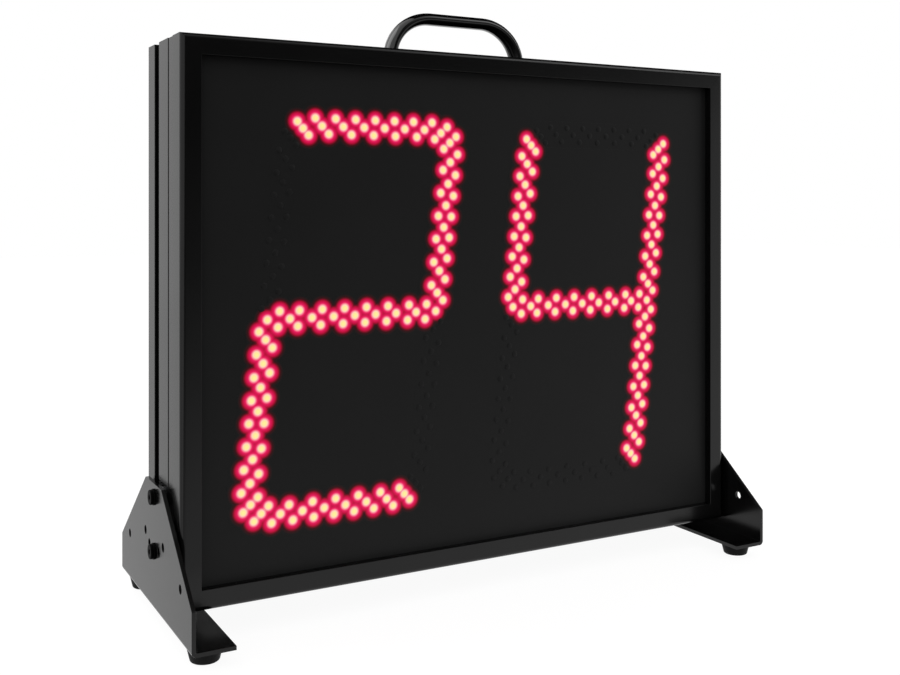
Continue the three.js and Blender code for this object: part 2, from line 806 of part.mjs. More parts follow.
// Rocker with stub pins, tipped to its off side; its own frame has the pin axis at the origin
function rocker() {
  const rise = rockerAxisDepth;
  const shape = outline([
    [-rockerHalfHeight, rise + rockerEndRise],
    [-rockerHalfHeight, -rockerPinReach],
    [-rockerHalfHeight / 2, -rockerSkirt],
    [rockerHalfHeight / 2, -rockerSkirt],
    [rockerHalfHeight, -rockerPinReach],
    [rockerHalfHeight, rise + rockerEndRise],
    [0, rise + rockerMiddleRise],
  ]);
  const width = wellWidth - 2 * rockerGap;
  const body = new THREE.ExtrudeGeometry(shape, { depth: width, bevelEnabled: false })
    .translate(0, 0, -width / 2).rotateY(Math.PI / 2);
  const reach = wellWidth / 2 + rockerPinReach;
  const pins = rodX(rockerPinDiameter / 2, [-reach, reach], 0, 0);
  const at = [inletX + wellOffset, rearY + inletFlange - rockerAxisDepth, cabinetLift + inletAboveBase];
  const mesh = piece('power_switch_rocker', joined([body, pins]), plasticBlack, at);
  mesh.rotation.x = THREE.MathUtils.degToRad(rockerTiltDegrees);
  return mesh;
}

// Bow handle: legs, quarter bends and a straight grip, as one curve over its own length
class BowCurve extends THREE.Curve {
  constructor(centres, rise, leg) {
    super();
    this.half = centres / 2;
    this.rise = rise;
    this.leg = leg;
    this.bend = rise - leg;
    this.arc = this.bend * Math.PI / 2;
    this.total = 2 * (leg + this.arc + this.half - this.bend);
  }

  getPoint(t, target = new THREE.Vector3()) {
    const fromMiddle = t * this.total - this.total / 2;
    const run = this.total / 2 - Math.abs(fromMiddle);
    const side = fromMiddle < 0 ? -1 : 1;
    if (run < this.leg) return target.set(side * this.half, 0, run);
    if (run < this.leg + this.arc) {
      const angle = (run - this.leg) / this.bend;
      const inward = this.bend * (1 - Math.cos(angle));
      return target.set(side * (this.half - inward), 0, this.leg + this.bend * Math.sin(angle));
    }
    return target.set(side * (this.half - this.bend - (run - this.leg - this.arc)), 0, this.rise);
  }
}

function handle() {
  const [deep, thick] = [handleDepth / 2 - handleCorner, handleThickness / 2 - handleCorner];
  const section = new THREE.Shape();
  [[deep, thick], [-deep, thick], [-deep, -thick], [deep, -thick]].forEach(([x, y], i) => {
    section.absarc(x, y, handleCorner, i * Math.PI / 2, (i + 1) * Math.PI / 2, false);
  });
  const bow = new THREE.ExtrudeGeometry(section, {
    extrudePath: new BowCurve(handleCentres, handleRise, handleLeg),
    steps: handleSteps,
    curveSegments: roundingSteps,
    bevelEnabled: false,
  });
  const bores = [-1, 1].map((side) => rodZ(clearHole(handleScrewDiameter), side * handleCentres / 2, 0,
    [-overrun, handleScrewGrip + fitGap]));
  return piece('handle', carved(bow, bores), blackCoat, [0, frontY + handleBehindFront, cabinetTop]);
}

function handleScrews() {
  return hands.map(([hand, side]) => {
    const geometry = domedScrew(handleScrewDiameter, handleScrewHeadDiameter, handleScrewHeadHeight,
      bodyWall + handleScrewGrip).rotateX(Math.PI);
    const at = [side * handleCentres / 2, frontY + handleBehindFront, cabinetTop - bodyWall];
    return piece(`handle_screw_${hand}`, geometry, boltBlack, at);
  });
}

// Bolt along X with a flange, a neck and a head; the underside of its flange is at 0 and its shank runs
// towards -side
function bolt(name, side, shank, z) {
  const headStart = boltFlangeThickness + boltNeckLength;
  const headEnd = headStart + boltHeadThickness;
  const profile = [
    [0, -shank],
    [boltDiameter / 2, -shank],
    [boltDiameter / 2, 0],
    [boltFlangeDiameter / 2, 0],
    [boltFlangeDiameter / 2, boltFlangeThickness],
    [boltNeckDiameter / 2, boltFlangeThickness],
    [boltNeckDiameter / 2, headStart],
    [boltHeadDiameter / 2, headStart],
    [boltHeadDiameter / 2, headEnd - boltHeadBevel],
    [boltHeadDiameter / 2 - boltHeadBevel, headEnd],
    [0, headEnd],
  ];
  const socketRange = [headEnd - boltSocketDepth, headEnd + overrun];
  const hexagon = rodZ(boltSocketDiameter / 2, 0, 0, socketRange, hexagonSides);
  const geometry = carved(turned(profile, boltSides), [hexagon]).rotateY(side * Math.PI / 2);
  return piece(name, geometry, boltBlack, [side * plateOuter, pivotY, z]);
}

function spacer(name, side) {
  const width = [halfWidth, halfWidth + sideGap];
  const ring = rodX(spacerDiameter / 2, onSide(width, side), pivotY, pivotHeight, boltSides);
  const through = [width[0] - overrun, width[1] + overrun];
  const hole = rodX(clearHole(boltDiameter), onSide(through, side), pivotY, pivotHeight);
  return piece(name, carved(ring, [hole]), bareAluminium);
}

// Tapped block clamped inside the side bar, against the floor of its channel, by the pivot bolt
function sideBlock(name, side) {
  const width = [nutFace - sideBlockReach, nutFace];
  const through = [width[0] - overrun, width[1] + overrun];
  const [lockHeight, topHeight] = [pivotHeight - indexRadius, pivotHeight];
  const solid = block(onSide(width, side), [pivotY - sideBlockWidth / 2, pivotY + sideBlockWidth / 2],
    [lockHeight - sideBlockEnd, topHeight + sideBlockEnd]);
  const bores = [lockHeight, topHeight]
    .map((z) => rodX(clearHole(boltDiameter), onSide(through, side), pivotY, z));
  return piece(name, carved(solid, bores), bareAluminium);
}

// Bent-plate bracket: an L section along Y, trimmed to the side outline and drilled
function bracket(name, side) {
  const section = new THREE.Shape();
  section.absarc(bracketBend, bracketBend, bracketBend, Math.PI, 1.5 * Math.PI, false);
  section.lineTo(bracketFlange, 0);
  section.lineTo(bracketFlange, bracketThickness);
  const inner = bracketThickness + bracketInnerBend;
  section.absarc(inner, inner, bracketInnerBend, 1.5 * Math.PI, Math.PI, true);
  section.lineTo(bracketThickness, bracketTopHeight - footHeight);
  section.lineTo(0, bracketTopHeight - footHeight);
  const angle = new THREE.ExtrudeGeometry(section, {
    depth: bracketLength,
    bevelEnabled: false,
    curveSegments: roundingSteps,
  }).rotateX(Math.PI / 2).translate(-plateOuter, bracketLength / 2, footHeight);
  const half = bracketLength / 2;
  const sideOutline = outline([
    [-half, footHeight - overrun],
    [half, footHeight - overrun],
    [half, bracketEndHeight],
    [bracketTopLength / 2, bracketTopHeight],
    [-bracketTopLength / 2, bracketTopHeight],
    [-half, bracketEndHeight],
  ]);
  const trim = new THREE.ExtrudeGeometry(sideOutline, {
    depth: bracketFlange + 2 * overrun,
    bevelEnabled: false,
  }).rotateY(Math.PI / 2).rotateX(Math.PI / 2).translate(-plateOuter - overrun, 0, 0);
  const through = [-plateOuter - overrun, -plateOuter + bracketThickness + overrun];
  const plateHole = (y, z) => rodX(clearHole(boltDiameter), through, y, z);
  const indexHoles = Array.from({ length: 2 * indexStepsEachWay + 1 }, (_, i) => {
    const turn = THREE.MathUtils.degToRad((i - indexStepsEachWay) * indexStepDegrees);
    return plateHole(pivotY + indexRadius * Math.sin(turn), pivotHeight - indexRadius * Math.cos(turn));
  });
  const wallHoles = [-1, 1].map((end) => plateHole(end * wallHoleSpacing / 2, wallHoleHeight));
  const footHoles = [-1, 1].map((end) => rodZ(clearHole(footScrewDiameter), -footX, end * footSpacing / 2,
    [footHeight - overrun, footHeight + bracketThickness + overrun], smallHoleSides));
  const cuts = [plateHole(pivotY, pivotHeight), ...indexHoles, ...wallHoles, ...footHoles];
  const trimmed = solidOf(angle).intersect(solidOf(trim));
  const solid = cuts.reduce((rest, cut) => rest.subtract(solidOf(cut)), trimmed);
  return piece(name, geometryOf(side > 0 ? solid.mirror([1, 0, 0]) : solid), blackCoat);
}

// Tapered rubber foot with a recess for its screw's head
function footGeometry() {
  const bore = clearHole(footScrewDiameter);
  const profile = [
    [bore, footHeight],
    [bore, footRecessDepth],
    [footRecessDiameter / 2, footRecessDepth],
    [footRecessDiameter / 2, 0],
    [footBottomDiameter / 2 - footRound, 0],
    [footBottomDiameter / 2, footRound],
    [footTopDiameter / 2, footHeight - footRim],
    [footTopDiameter / 2, footHeight],
    [bore, footHeight],
  ];
  return turned(profile, footSides);
}

function footScrewGeometry() {
  const length = footHeight - footRecessDepth + bracketThickness - fitGap;
  return domedScrew(footScrewDiameter, footScrewHeadDiameter, footScrewHeadHeight, length).rotateX(Math.PI);
}

function feet() {
  return ends.flatMap(([end, back]) => hands.flatMap(([hand, out]) => {
    const [x, y] = [out * footX, back * footSpacing / 2];
    return [
      piece(`rubber_foot_${end}_${hand}`, footGeometry(), rubberBlack, [x, y, 0]),
      piece(`foot_screw_${end}_${hand}`, footScrewGeometry(), boltBlack, [x, y, footRecessDepth]),
    ];
  }));
}

function buildCabinet() {
  const cabinet = new THREE.Group();
  cabinet.add(
    ...frameBars('front_frame', frameSection(), {}),
    ...frameBars('body_profile', bodySection(), bodyCuts()),
    ...cornerBlocks(),
    frontPanel(),
    digitBoard('left'),
    digitBoard('right'),
    ...segmentPieces('left'),
    ...segmentPieces('right'),
    rearCover(),
    ...coverScrews(),
    horn(),
    controllerBoard(),
    powerSupply(),
    mainsInlet(),
    rocker(),
    handle(),
    ...handleScrews(),
    sideBlock('side_block_left', -1),
    sideBlock('side_block_right', 1),
    spacer('pivot_spacer_left', -1),
    spacer('pivot_spacer_right', 1),
    bolt('pivot_bolt_left', -1, pivotShank, pivotHeight),
    bolt('pivot_bolt_right', 1, pivotShank, pivotHeight),
  );
  return cabinet;
}

function buildStand() {
  const stand = new THREE.Group();
  stand.add(
    bracket('bracket_left', -1),
    bracket('bracket_right', 1),
    ...feet(),
    bolt('lock_bolt_left', -1, lockShank, pivotHeight - indexRadius),
    bolt('lock_bolt_right', 1, lockShank, pivotHeight - indexRadius),
  );
  return stand;
}

const shotClock = new THREE.Group();
shotClock.add(buildCabinet(), buildStand());

export default shotClock;
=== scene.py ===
# Looks of the shot clock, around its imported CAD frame. Metres, +Z up, the display looks along -Y.
import json
import math

import bmesh
import bpy
from mathutils import Matrix, Vector

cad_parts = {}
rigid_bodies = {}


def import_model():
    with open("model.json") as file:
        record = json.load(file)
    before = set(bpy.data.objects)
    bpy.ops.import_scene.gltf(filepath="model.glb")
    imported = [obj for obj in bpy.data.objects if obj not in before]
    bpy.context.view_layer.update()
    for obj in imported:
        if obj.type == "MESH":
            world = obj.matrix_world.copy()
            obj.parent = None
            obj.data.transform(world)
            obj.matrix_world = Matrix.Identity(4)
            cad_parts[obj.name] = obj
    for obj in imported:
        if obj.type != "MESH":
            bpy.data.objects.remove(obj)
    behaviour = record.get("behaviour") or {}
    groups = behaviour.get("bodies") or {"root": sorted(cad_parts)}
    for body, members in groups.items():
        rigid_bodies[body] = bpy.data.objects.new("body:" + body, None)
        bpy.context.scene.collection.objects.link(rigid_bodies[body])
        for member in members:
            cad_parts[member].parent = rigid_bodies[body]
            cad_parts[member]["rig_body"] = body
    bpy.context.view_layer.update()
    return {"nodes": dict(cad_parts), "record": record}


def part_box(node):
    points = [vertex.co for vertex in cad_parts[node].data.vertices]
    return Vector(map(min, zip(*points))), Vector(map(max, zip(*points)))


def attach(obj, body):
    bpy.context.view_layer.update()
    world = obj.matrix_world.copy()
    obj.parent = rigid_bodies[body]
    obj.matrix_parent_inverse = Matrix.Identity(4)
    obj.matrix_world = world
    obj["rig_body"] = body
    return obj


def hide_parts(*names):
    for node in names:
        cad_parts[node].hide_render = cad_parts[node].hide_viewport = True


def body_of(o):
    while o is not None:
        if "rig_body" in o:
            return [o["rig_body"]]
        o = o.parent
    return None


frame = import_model()
nodes = frame["nodes"]
slots = {row["node"]: row["material_slot"] for row in frame["record"]["subparts"]}

MM = 0.001
OVERRUN = 2 * MM
MERGE = 0.002 * MM
ON_AXIS = 0.0001 * MM
FLAT_DEGREES = 0.5
HANDS = (("left", -1), ("right", 1))


def span(*names):
    """Lowest and highest corner of several CAD nodes together."""
    lows, highs = zip(*(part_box(name) for name in names))
    low = Vector(min(corner[axis] for corner in lows) for axis in range(3))
    high = Vector(max(corner[axis] for corner in highs) for axis in range(3))
    return low, high


# Places taken from the frame
frame_names = [f"front_frame_{side}" for side in ("top", "bottom", "left", "right")]
body_names = [f"body_profile_{side}" for side in ("top", "bottom", "left", "right")]
cabinet_low, cabinet_high = span(*frame_names, *body_names)
panel_low, panel_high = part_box("front_panel")
pivot_low, pivot_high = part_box("pivot_bolt_left")
lock_low, lock_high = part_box("lock_bolt_left")
bracket_low, bracket_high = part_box("bracket_left")

half_width = cabinet_high.x
half_height = (cabinet_high.z - cabinet_low.z) / 2
cabinet_middle = (cabinet_high.z + cabinet_low.z) / 2
cabinet_depth = cabinet_high.y - cabinet_low.y
front_y = cabinet_low.y
pivot_y = (pivot_low.y + pivot_high.y) / 2
pivot_z = (pivot_low.z + pivot_high.z) / 2
lock_z = (lock_low.z + lock_high.z) / 2
plate_outer = -bracket_low.x


# Mesh helpers
def eased(points, steps=6):
    """A closed outline of (u, v, radius) points with each corner rounded to its radius."""
    outline = []
    for index, (u, v, radius) in enumerate(points):
        corner = Vector((u, v))
        if radius == 0:
            outline.append(corner)
            continue
        before = (Vector(points[index - 1][:2]) - corner).normalized()
        after = (Vector(points[(index + 1) % len(points)][:2]) - corner).normalized()
        half = before.angle(after) / 2
        centre = corner + (before + after).normalized() * radius / math.sin(half)
        reach = radius / math.tan(half)
        start = corner + before * reach - centre
        end = corner + after * reach - centre
        turn = math.atan2(start.x * end.y - start.y * end.x, start.dot(end))
        for step in range(steps + 1):
            angle = turn * step / steps
            across = Vector((-start.y, start.x))
            outline.append(centre + start * math.cos(angle) + across * math.sin(angle))
    return outline


def loft(rings, capped=True):
    """A closed solid through rings of points, each ring with as many points."""
    bm = bmesh.new()
    loops = [[bm.verts.new(point) for point in ring] for ring in rings]
    count = len(loops[0])
    for one, two in zip(loops, loops[1:]):
        for index in range(count):
            following = (index + 1) % count
            bm.faces.new((one[index], one[following], two[following], two[index]))
    if capped:
        bm.faces.new(loops[0])
        bm.faces.new(loops[-1])
    bmesh.ops.recalc_face_normals(bm, faces=bm.faces)
    return bm


def prism(outline, low, high, axis="z"):
    """An outline made solid between two levels of an axis."""
    orders = {
        "x": lambda u, v, w: (w, u, v),
        "y": lambda u, v, w: (u, w, v),
        "z": lambda u, v, w: (u, v, w),
    }
    order = orders[axis]
    return loft([[order(point[0], point[1], level) for point in outline] for level in (low, high)])


def circle(radius, sides, centre=(0, 0)):
    angles = [2 * math.pi * index / sides for index in range(sides)]
    return [(centre[0] + radius * math.cos(a), centre[1] + radius * math.sin(a)) for a in angles]


def box_outline(width, height, centre=(0, 0)):
    u, v = centre
    return [(u - width / 2, v - height / 2), (u + width / 2, v - height / 2),
            (u + width / 2, v + height / 2), (u - width / 2, v + height / 2)]


def turned(profile, sides):
    """A profile of (radius, height) points, from axis to axis, turned about +Z."""
    bm = bmesh.new()
    rings = []
    for radius, height in profile:
        if radius < ON_AXIS:
            rings.append([bm.verts.new((0, 0, height))])
        else:
            rings.append([bm.verts.new((x, y, height)) for x, y in circle(radius, sides)])
    for one, two in zip(rings, rings[1:]):
        for index in range(sides):
            following = (index + 1) % sides
            corners = [one[index % len(one)], one[following % len(one)],
                       two[following % len(two)], two[index % len(two)]]
            bm.faces.new(list(dict.fromkeys(corners)))
    bmesh.ops.recalc_face_normals(bm, faces=bm.faces)
    return bm


def turned_profile(points, steps=5):
    """A turned piece's profile with rounded corners; its first and last points lie on the axis."""
    outline = eased([*points, (-points[-1][0] - MM, points[-1][1], 0), (-MM, points[0][1], 0)], steps)
    return [(point[0], point[1]) for point in outline if point[0] > -MM / 2]


def joined(*parts):
    """Several bmeshes as the shells of one."""
    whole = bmesh.new()
    for part in parts:
        mesh = bpy.data.meshes.new("part")
        part.to_mesh(mesh)
        part.free()
        whole.from_mesh(mesh)
        bpy.data.meshes.remove(mesh)
    return whole


def loose_object(name, bm):
    mesh = bpy.data.meshes.new(name)
    bm.to_mesh(mesh)
    bm.free()
    obj = bpy.data.objects.new(name, mesh)
    bpy.context.scene.collection.objects.link(obj)
    return obj


def combined(operation, solid, tool):
    """The solid cut by the tool, or what the two share."""
    first, second = loose_object("solid", solid), loose_object("tool", tool)
    modifier = first.modifiers.new("Boolean", "BOOLEAN")
    modifier.operation = operation
    modifier.solver = "EXACT"
    modifier.use_self = True
    modifier.object = second
    result = bmesh.new()
    result.from_object(first, bpy.context.evaluated_depsgraph_get())
    for obj in (first, second):
        mesh = obj.data
        bpy.data.objects.remove(obj)
        bpy.data.meshes.remove(mesh)
    return result


def softened(bm, width, segments=2, sharper_than=35):
    """Rounds every edge that is sharper than an angle in degrees."""
    bmesh.ops.remove_doubles(bm, verts=bm.verts, dist=MERGE)
    flat = math.radians(FLAT_DEGREES)
    bmesh.ops.dissolve_limit(bm, angle_limit=flat, verts=bm.verts, edges=bm.edges)
    limit = math.radians(sharper_than)
    sharp = [edge for edge in bm.edges if edge.is_manifold and edge.calc_face_angle(0) > limit]
    bmesh.ops.bevel(bm, geom=sharp, offset=width, segments=segments, profile=0.5,
                    affect="EDGES", clamp_overlap=True)
    return bm


def finished(name, bm, materials, replaced, smooth_below=32):
    """A shown piece that stands for CAD nodes, on their body and with the given materials."""
    mesh = bpy.data.meshes.new(name)
    bm.to_mesh(mesh)
    bm.free()
    for material in materials if isinstance(materials, (list, tuple)) else [materials]:
        mesh.materials.append(material)
    mesh.shade_smooth()
    mesh.set_sharp_from_angle(angle=math.radians(smooth_below))
    obj = bpy.data.objects.new(name, mesh)
    bpy.context.scene.collection.objects.link(obj)
    weighted = obj.modifiers.new("Weighted normals", "WEIGHTED_NORMAL")
    weighted.keep_sharp = True
    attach(obj, body_of(nodes[replaced[0]])[0])
    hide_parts(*replaced)
    return obj


def cad_mesh(name):
    """A copy of a CAD node's mesh."""
    bm = bmesh.new()
    bm.from_mesh(nodes[name].data)
    return bm


# Material helpers: every finish has its own grain, colour drift and gloss drift
NOISE_LOW = 0.3
NOISE_HIGH = 0.7
FINE_DETAIL = 2.0
SRGB_KNEE = 0.04045


def ramp_node(tree, stops):
    ramp = tree.nodes.new("ShaderNodeValToRGB")
    elements = ramp.color_ramp.elements
    while len(elements) < len(stops):
        elements.new(0.5)
    for element, (place, colour) in zip(elements, stops):
        element.position = place
        element.color = (*colour, 1)
    return ramp


def noise_node(tree, scale, stretch=(1, 1, 1), detail=3.0):
    place = tree.nodes.new("ShaderNodeTexCoord")
    mapping = tree.nodes.new("ShaderNodeMapping")
    mapping.inputs["Scale"].default_value = stretch
    noise = tree.nodes.new("ShaderNodeTexNoise")
    noise.inputs["Scale"].default_value = scale
    noise.inputs["Detail"].default_value = detail
    tree.links.new(place.outputs["Object"], mapping.inputs["Vector"])
    tree.links.new(mapping.outputs["Vector"], noise.inputs["Vector"])
    return noise


def finish(name, colour, drift, gloss, gloss_drift, grain, relief, specular=0.5, metallic=0.0,
           drift_scale=14, stretch=(1, 1, 1)):
    """A Principled material. Colour drifts by a share, gloss is a roughness, grain in 1/m, relief in m."""
    material = bpy.data.materials.new(name)
    material.use_nodes = True
    tree = material.node_tree
    shader = tree.nodes["Principled BSDF"]
    shader.inputs["Metallic"].default_value = metallic
    shader.inputs["Specular IOR Level"].default_value = specular
    broad = noise_node(tree, drift_scale, stretch)
    darker = [channel * (1 - drift) for channel in colour]
    paler = [channel * (1 + drift) for channel in colour]
    ramp = ramp_node(tree, [(NOISE_LOW, darker), (NOISE_HIGH, paler)])
    tree.links.new(broad.outputs["Fac"], ramp.inputs["Fac"])
    tree.links.new(ramp.outputs["Color"], shader.inputs["Base Color"])
    fine = noise_node(tree, grain, stretch, detail=FINE_DETAIL)
    spread = tree.nodes.new("ShaderNodeMapRange")
    spread.inputs["From Min"].default_value = NOISE_LOW
    spread.inputs["From Max"].default_value = NOISE_HIGH
    spread.inputs["To Min"].default_value = gloss - gloss_drift
    spread.inputs["To Max"].default_value = gloss + gloss_drift
    tree.links.new(fine.outputs["Fac"], spread.inputs["Value"])
    tree.links.new(spread.outputs["Result"], shader.inputs["Roughness"])
    bump = tree.nodes.new("ShaderNodeBump")
    bump.inputs["Strength"].default_value = 1.0
    bump.inputs["Distance"].default_value = relief
    tree.links.new(fine.outputs["Fac"], bump.inputs["Height"])
    tree.links.new(bump.outputs["Normal"], shader.inputs["Normal"])
    return material


def grey(level):
    return (level, level, level)


def linear(*levels):
    """Linear colour from screen levels of 0 to 255."""
    shares = [level / 255 for level in levels]
    return tuple(s / 12.92 if s <= SRGB_KNEE else ((s + 0.055) / 1.055) ** 2.4 for s in shares)


def light_ramp(tree, reach, stops):
    """A ramp from (distance in mm, screen levels) stops, over the whole reach."""
    return ramp_node(tree, [(radius * MM / reach, linear(*levels)) for radius, levels in stops])


def glowing(material, attribute, reach, stops, face_stops=None):
    """Adds light by a distance that the mesh holds, up to its reach. Face stops dim the colour."""
    tree = material.node_tree
    shader = tree.nodes["Principled BSDF"]
    distance = tree.nodes.new("ShaderNodeAttribute")
    distance.attribute_name = attribute
    share = tree.nodes.new("ShaderNodeMapRange")
    share.inputs["From Max"].default_value = reach
    tree.links.new(distance.outputs["Fac"], share.inputs["Value"])
    if face_stops:
        colour = shader.inputs["Base Color"].links[0].from_socket
        dimmer = light_ramp(tree, reach, face_stops)
        dimmed = tree.nodes.new("ShaderNodeVectorMath")
        dimmed.operation = "MULTIPLY"
        tree.links.new(share.outputs["Result"], dimmer.inputs["Fac"])
        tree.links.new(colour, dimmed.inputs[0])
        tree.links.new(dimmer.outputs["Color"], dimmed.inputs[1])
        tree.links.new(dimmed.outputs["Vector"], shader.inputs["Base Color"])
    ramp = light_ramp(tree, reach, stops)
    tree.links.new(share.outputs["Result"], ramp.inputs["Fac"])
    tree.links.new(ramp.outputs["Color"], shader.inputs["Emission Color"])
    shader.inputs["Emission Strength"].default_value = 1.0
    material.cycles.emission_sampling = "NONE"
    return material


# Light by distance from an LED's axis in mm, in screen levels: yellow core, pink rim, crimson halo
LED_REACH = 2.7 * MM
LED_STOPS = [
    (0.0, (255, 240, 150)),
    (1.6, (255, 230, 150)),
    (2.7, (255, 205, 185)),
]
HALO_REACH = 10.8 * MM
HALO_STOPS = [
    (2.4, (255, 210, 190)),
    (3.8, (245, 90, 130)),
    (4.5, (230, 20, 90)),
    (6.5, (180, 0, 50)),
    (7.5, (105, 0, 25)),
    (8.5, (45, 0, 5)),
    (10.5, (0, 0, 0)),
]
FACE_STOPS = [
    (0.0, (60, 60, 60)),
    (6.5, (60, 60, 60)),
    (8.5, (180, 180, 180)),
    (9.6, (255, 255, 255)),
]

coat = finish("satin powder coat", grey(0.0040), drift=0.25, gloss=0.19, gloss_drift=0.02,
              grain=1400, relief=0.002 * MM, specular=0.29)
matt_face = dict(drift=0.06, gloss=0.55, gloss_drift=0.03, grain=900, relief=0.004 * MM, specular=0.15)
panel_black = finish("matt black face", grey(0.0128), **matt_face)
led_lit = glowing(finish("lit LED", (0.30, 0.02, 0.03), drift=0.1, gloss=0.22, gloss_drift=0.02,
                         grain=700, relief=0.002 * MM), "light", LED_REACH, LED_STOPS)
led_unlit = finish("unlit LED", grey(0.0122), drift=0.10, gloss=0.55, gloss_drift=0.03,
                   grain=900, relief=0.002 * MM, specular=0.15)
light_spread = glowing(finish("light in the black face", grey(0.0128), **matt_face),
                       "halo", HALO_REACH, HALO_STOPS, FACE_STOPS)
circuit_green = finish("solder mask", (0.012, 0.075, 0.030), drift=0.35, gloss=0.38, gloss_drift=0.08,
                       grain=260, relief=0.02 * MM, drift_scale=160)
plastic_black = finish("moulded black plastic", grey(0.012), drift=0.15, gloss=0.42, gloss_drift=0.05,
                       grain=1800, relief=0.012 * MM, specular=0.4)
cage_metal = finish("zinc plated sheet", (0.55, 0.56, 0.57), drift=0.10, gloss=0.34, gloss_drift=0.07,
                    grain=700, relief=0.004 * MM, metallic=1.0, stretch=(1, 1, 0.06))
bare_aluminium = finish("milled aluminium", (0.60, 0.61, 0.62), drift=0.08, gloss=0.33, gloss_drift=0.07,
                        grain=900, relief=0.006 * MM, metallic=1.0, stretch=(1, 0.05, 1))
bolt_black = finish("black oxide steel", grey(0.003), drift=0.35, gloss=0.50, gloss_drift=0.06,
                    grain=1200, relief=0.003 * MM, specular=0.03)
foot_rubber = finish("moulded rubber", grey(0.004), drift=0.20, gloss=0.60, gloss_drift=0.08,
                     grain=1100, relief=0.02 * MM, specular=0.12)
contact_metal = finish("nickel contacts", (0.62, 0.60, 0.55), drift=0.08, gloss=0.24, gloss_drift=0.05,
                       grain=800, relief=0.003 * MM, metallic=1.0)
handle_coat = finish("smooth black coat", grey(0.002), drift=0.2, gloss=0.10, gloss_drift=0.02,
                     grain=500, relief=0.001 * MM, specular=0.6)

finishes = {
    "black_coat": coat,
    "panel_black": panel_black,
    "led_lit": led_lit,
    "led_unlit": led_unlit,
    "circuit_green": circuit_green,
    "plastic_black": plastic_black,
    "cage_metal": cage_metal,
    "bare_aluminium": bare_aluminium,
    "bolt_black": bolt_black,
    "foot_rubber": foot_rubber,
}
for name, node in nodes.items():
    node.data.materials.clear()
    node.data.materials.append(finishes[slots[name]])


# Mitred bars of the front frame and the body: section points are (behind the front, in from the outside)
BEZEL_WIDTH = 15 * MM
BEZEL_SKIN = 2.5 * MM
BEZEL_LIP = 2.5 * MM
LIP_ROUND = 0.3 * MM
FRONT_ROUND = 4 * MM
FRAME_STEP = 0.3 * MM
FRAME_STEP_DEPTH = 22 * MM
FRAME_WALL = 4 * MM
SEAM_WIDTH = 1.2 * MM
SEAM_DEPTH = 2.5 * MM
RIB_WIDTH = 26.3 * MM
CHANNEL_WIDTH = 12.5 * MM
CHANNEL_DEPTH = 6 * MM
REAR_RIM = 8 * MM
COVER_SEAT = 12 * MM
BODY_WALL = 2 * MM
COVER_THICKNESS = 2 * MM
MITRE_GAP = 0.06 * MM
EDGE_ROUND = 0.5 * MM
FINE_ROUND = 0.25 * MM

frame_low, frame_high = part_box("front_frame_top")
frame_depth = frame_high.y - frame_low.y
panel_recess = panel_low.y - front_y


def frame_section():
    lip_start = BEZEL_WIDTH - BEZEL_LIP
    return eased([
        (0, 0, FRONT_ROUND),
        (FRAME_STEP_DEPTH, 0, FINE_ROUND),
        (FRAME_STEP_DEPTH, FRAME_STEP, FINE_ROUND),
        (frame_depth, FRAME_STEP, FINE_ROUND),
        (frame_depth, FRAME_WALL, 0),
        (BEZEL_SKIN, FRAME_WALL, 0),
        (BEZEL_SKIN, lip_start, 0),
        (panel_recess, lip_start, 0),
        (panel_recess, BEZEL_WIDTH, 0),
        (0, BEZEL_WIDTH, LIP_ROUND),
    ])


def body_section():
    seam_end = frame_depth + SEAM_WIDTH
    channel_start = seam_end + RIB_WIDTH
    channel_end = channel_start + CHANNEL_WIDTH
    seat = cabinet_depth - COVER_THICKNESS
    seat_end = REAR_RIM + COVER_SEAT
    neck = SEAM_DEPTH + BODY_WALL
    return eased([
        (frame_depth, SEAM_DEPTH, 0),
        (seam_end, SEAM_DEPTH, FINE_ROUND),
        (seam_end, 0, EDGE_ROUND),
        (channel_start, 0, EDGE_ROUND),
        (channel_start, CHANNEL_DEPTH, FINE_ROUND),
        (channel_end, CHANNEL_DEPTH, FINE_ROUND),
        (channel_end, 0, EDGE_ROUND),
        (cabinet_depth, 0, EDGE_ROUND),
        (cabinet_depth, REAR_RIM, FINE_ROUND),
        (seat, REAR_RIM, 0),
        (seat, seat_end, 0),
        (seat - BODY_WALL, seat_end, 0),
        (seat - BODY_WALL, BODY_WALL, 0),
        (channel_end + BODY_WALL, BODY_WALL, 0),
        (channel_end + BODY_WALL, CHANNEL_DEPTH + BODY_WALL, 0),
        (channel_start - BODY_WALL, CHANNEL_DEPTH + BODY_WALL, 0),
        (channel_start - BODY_WALL, BODY_WALL, 0),
        (seam_end + BODY_WALL, BODY_WALL, 0),
        (seam_end + BODY_WALL, neck, 0),
        (frame_depth, neck, 0),
    ])


def mitred_bar(section, half_length, turn, at):
    """A bar along X with its outer face up, cut at 45 degrees at both ends, then turned about Y."""
    rings = [[(side * (half_length - inward - MITRE_GAP / 2), depth, -inward) for depth, inward in section]
             for side in (-1, 1)]
    bm = loft(rings)
    bm.transform(Matrix.Translation(at) @ Matrix.Rotation(turn, 4, "Y"))
    return bm


BOLT_HOLE = 6.6 * MM
BORE_SIDES = 32
BORE_INWARD = 4 * MM


def bolt_bores(side, low, high):
    """Bores for one side's pivot and lock bolts, between two distances from the middle."""
    reach = sorted((side * low, side * high))
    return joined(*(prism(circle(BOLT_HOLE / 2, BORE_SIDES, (pivot_y, z)), *reach, axis="x")
                    for z in (pivot_z, lock_z)))


